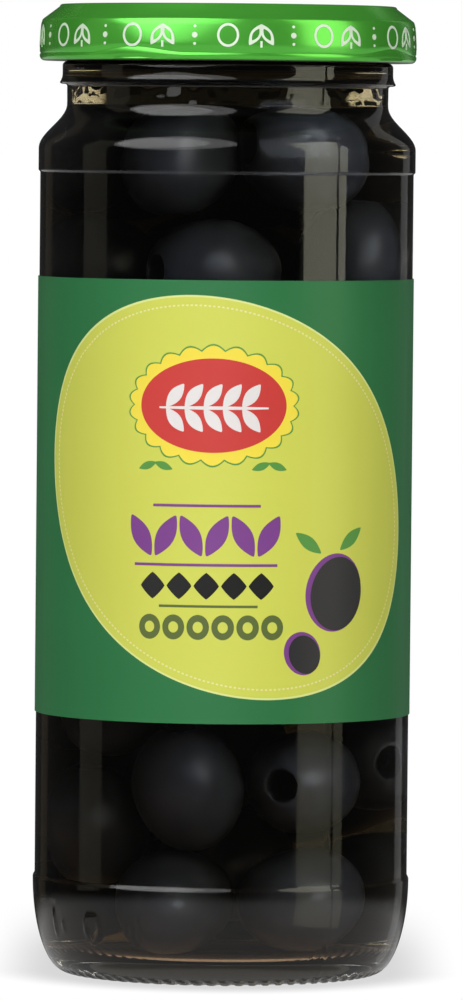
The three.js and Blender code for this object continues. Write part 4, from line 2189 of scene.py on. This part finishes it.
@dataclass
class Studio:
    """The floor, the lamps, the white surround and the camera. Directions are in degrees."""

    photo_width: int = 463
    photo_height: int = 1000
    camera_distance: float = 1500.0
    camera_height: float = 147.4
    pixels_per_mm: float = 5.708
    horizon_pixel: float = 131.5
    axis_pixel: float = 224.0
    roll: float = 0.53
    view_limit: float = 50.0
    surround: float = 1.0
    gloss_surround: float = 0.03
    soft_light: float = 0.16
    floor_in_gloss: float = 0.48
    strip_angle: float = 40.0
    strip_half_width: float = 9.0
    strip_fade: float = 4.0
    strip_bottom: float = 0.0
    strip_bottom_fade: float = 0.35
    strip_top: float = 2.5
    strip_top_fade: float = 1.5
    strip_strength: float = 3.0
    gloss_floor_start: float = -6.5
    gloss_floor_end: float = -11.0
    lamp_target: float = 85.0
    floor_depth: float = 5.0
    floor_gap: float = 0.01
    floor_middle: float = 400.0
    floor_sides: int = 96

    def camera(self) -> None:
        """Places the camera as the photograph was taken."""
        focal_pixels = self.pixels_per_mm * self.camera_distance
        data = bpy.data.cameras.new("camera")
        data.sensor_fit = "VERTICAL"
        data.lens = focal_pixels / self.photo_height * data.sensor_height
        data.clip_end = self.view_limit
        camera = linked("camera", data)
        pitch = (self.photo_height / 2.0 - self.horizon_pixel) / focal_pixels
        aside = (self.photo_width / 2.0 - self.axis_pixel) / self.pixels_per_mm
        location = Vector((aside, -self.camera_distance, self.camera_height)) * MM
        looking = Vector((0.0, 1.0, -pitch)).normalized()
        turn = looking.to_track_quat("-Z", "Y").to_matrix() @ Matrix.Rotation(radians(self.roll), 3, "Z")
        camera.matrix_world = Matrix.Translation(location) @ turn.to_4x4()
        bpy.context.scene.camera = camera

    def world(self) -> None:
        """A white surround, which gloss sees as a dark studio."""
        world = bpy.data.worlds.new("surround")
        world.use_nodes = True
        graph = Graph(world.node_tree)
        path = graph.add("ShaderNodeLightPath").outputs
        parts = graph.parts(graph.add("ShaderNodeTexCoord").outputs["Generated"])
        strength = graph.maths("MULTIPLY", path["Is Camera Ray"], self.surround)
        strips = graph.maths("ADD", self.strip(graph, parts), self.gloss_surround)
        strength = graph.maths("MULTIPLY_ADD", path["Is Transmission Ray"], strips, strength)
        start = (sin(radians(self.gloss_floor_start)), self.gloss_surround)
        end = (sin(radians(self.gloss_floor_end)), self.floor_in_gloss)
        below = graph.eased(parts["Z"], start, end)
        strength = graph.maths("MULTIPLY_ADD", path["Is Glossy Ray"], below, strength)
        strength = graph.maths("MULTIPLY_ADD", path["Is Diffuse Ray"], self.soft_light, strength)
        background = world.node_tree.nodes["Background"].inputs
        graph.feed(background["Color"], rgba(WHITE))
        graph.feed(background["Strength"], strength)
        bpy.context.scene.world = world

    def strip(self, graph: Graph, parts: Sockets) -> Socket:
        """How bright the two soft strips behind the jar are in a direction.

        Args:
            graph: The world's nodes.
            parts: The direction's three parts.

        Returns:
            The strips' strength there.
        """
        turned_to = graph.maths("ARCTAN2", parts["X"], parts["Y"])
        off_strip = graph.maths("SUBTRACT", graph.maths("ABSOLUTE", turned_to), radians(self.strip_angle))
        off_strip = graph.maths("ABSOLUTE", off_strip)
        end = (radians(self.strip_half_width), self.strip_strength)
        across = graph.eased(off_strip, (radians(self.strip_half_width + self.strip_fade), 0.0), end)
        low, high = (
            graph.eased(parts["Z"], (sin(radians(edge + fade)), 0.0), (sin(radians(edge)), 1.0))
            for edge, fade in (
                (self.strip_top, self.strip_top_fade), (self.strip_bottom, -self.strip_bottom_fade)
            )
        )
        return graph.maths("MULTIPLY", across, graph.maths("MULTIPLY", low, high))

    def floor(self) -> None:
        """A plain pale floor that reaches the horizon, where it is as white as the surround."""
        low, high = -self.floor_depth, -self.floor_gap
        edge = [(FLOOR_RADIUS, low), (FLOOR_RADIUS, high)]
        profile = [(0.0, low), *edge, (self.floor_middle, high), (0.0, high)]
        floor = turned("floor", profile, self.floor_sides, [FLOOR_FINISH])
        floor.visible_glossy = False
        floor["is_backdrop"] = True

    def build(self) -> None:
        """Makes the whole studio."""
        bpy.context.scene.view_settings.view_transform = "Standard"
        self.camera()
        self.world()
        self.floor()
        target = UP * (self.lamp_target * MM)
        for lamp in LAMPS:
            lamp.build(target)


@dataclass(frozen=True)
class GlowingFloor(Finish):
    """A pale floor, white to the camera but for a painted soft shadow of the jar; through glass it is
    painted darker and browner and glows amber, a painted glow for the brine's light under the jar.

    Its distances from the jar's axis are in metres.
    """

    paint: Mottle = Mottle((0.78, 0.78, 0.78), (0.8, 0.8, 0.8), 5.0)
    other_share: float = 0.45
    # Through glass the floor's paint is darker and browner, and near the jar it glows amber: painted light
    # for the brown light that the brine casts under the jar.
    through_glass: Colour = (0.4, 0.33, 0.25)
    painted_amber_glow: Colour = (0.3, 0.19, 0.105)
    painted_glow_start: float = 0.07
    painted_glow_end: float = 0.16
    # How deep and wide the painted shadow of the jar is, and where it fades out behind the jar.
    shade_depth: float = 0.32
    shade_start: float = 0.029
    shade_end: float = 0.043
    shade_fade: float = 0.02
    shade_reach: float = 0.15
    sheen: float = 0.1

    def dress(self, graph: Graph) -> dict[str, object]:
        """Colours the floor for the jar's lighting, lets it glow white with a painted shadow for the
        camera, and paints it darker, browner and glowing amber through glass.

        Args:
            graph: The material's nodes.

        Returns:
            What the shader's inputs get, by name.
        """
        path = graph.add("ShaderNodeLightPath").outputs
        camera = path["Is Camera Ray"]
        through = path["Is Transmission Ray"]
        place = graph.place()
        kept = graph.maths("MULTIPLY_ADD", camera, -self.other_share, self.other_share)
        dimmed = graph.vector("SCALE", self.paint.colour(graph))
        graph.feed(dimmed.inputs["Scale"], kept)
        away = graph.vector("LENGTH", place).outputs["Value"]
        # Painted amber glow, seen through glass only, strongest close to the jar.
        near = graph.eased(away, (self.painted_glow_end, 0.0), (self.painted_glow_start, 1.0))
        strength = graph.maths("MULTIPLY", camera, self.shade(graph, place))
        return {
            "Base Color": graph.mixed(
                through, dimmed.outputs[0], rgba(self.through_glass), blend_type="MULTIPLY"
            ),
            "Emission Color": graph.mixed(through, rgba(WHITE), rgba(self.painted_amber_glow)),
            "Emission Strength": graph.maths("MULTIPLY_ADD", through, near, strength),
            "Specular IOR Level": self.sheen,
        }

    def shade(self, graph: Graph, place: Socket) -> Socket:
        """The floor's brightness with a painted soft shadow of the jar, which runs back from the jar.

        Args:
            graph: The material's nodes.
            place: The place on the floor.

        Returns:
            The brightness, 1 away from the shadow.
        """
        parts = graph.parts(place)
        forward = graph.maths("MINIMUM", parts["Y"], 0.0)
        aside = graph.maths("MULTIPLY", parts["X"], parts["X"])
        off_axis = graph.maths("SQRT", graph.maths("MULTIPLY_ADD", forward, forward, aside))
        # Painted shadow: darkest at the jar's foot and in a band that runs back from it.
        dark = graph.eased(off_axis, (self.shade_start, self.shade_depth), (self.shade_end, 0.0))
        fade = graph.eased(parts["Y"], (self.shade_fade, 1.0), (self.shade_reach, 0.0))
        return graph.maths("SUBTRACT", 1.0, graph.maths("MULTIPLY", dark, fade))


FLOOR_RADIUS = 60000.0
FLOOR_FINISH = GlowingFloor("floor", 0.7, Unevenness(30.0, 0.05))


def corners(box: tuple[Vector, Vector]) -> list[list[float]]:
    """A box as plain lists of numbers."""
    return [list(corner) for corner in box]


def main() -> None:
    """Builds the studio and the jar's pieces, and reports them."""
    logging.basicConfig(level=logging.INFO, format="%(name)s: %(message)s")
    Studio().build()
    _, glass_high = (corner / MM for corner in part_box("glass_jar"))
    lid_low, lid_high = (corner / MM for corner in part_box("lid"))
    label_low, label_high = (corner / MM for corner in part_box("label"))
    jar = GlassJar(top=glass_high.z, band_radius=glass_high.x)
    pieces = [jar.build(), Brine(jar).build(), OliveHeap().build()]
    pieces += Label(bottom=label_low.z, top=label_high.z, radius=label_high.x).build()
    pieces += Lid(bottom=lid_low.z, top=lid_high.z, radius=lid_high.x).build()
    for made in pieces:
        LOG.info("%s: %d faces", made.name, len(made.data.polygons))
    {"cad": corners(CAD_BOX), "visual": corners(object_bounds())}


if __name__ == "__main__":
    main()
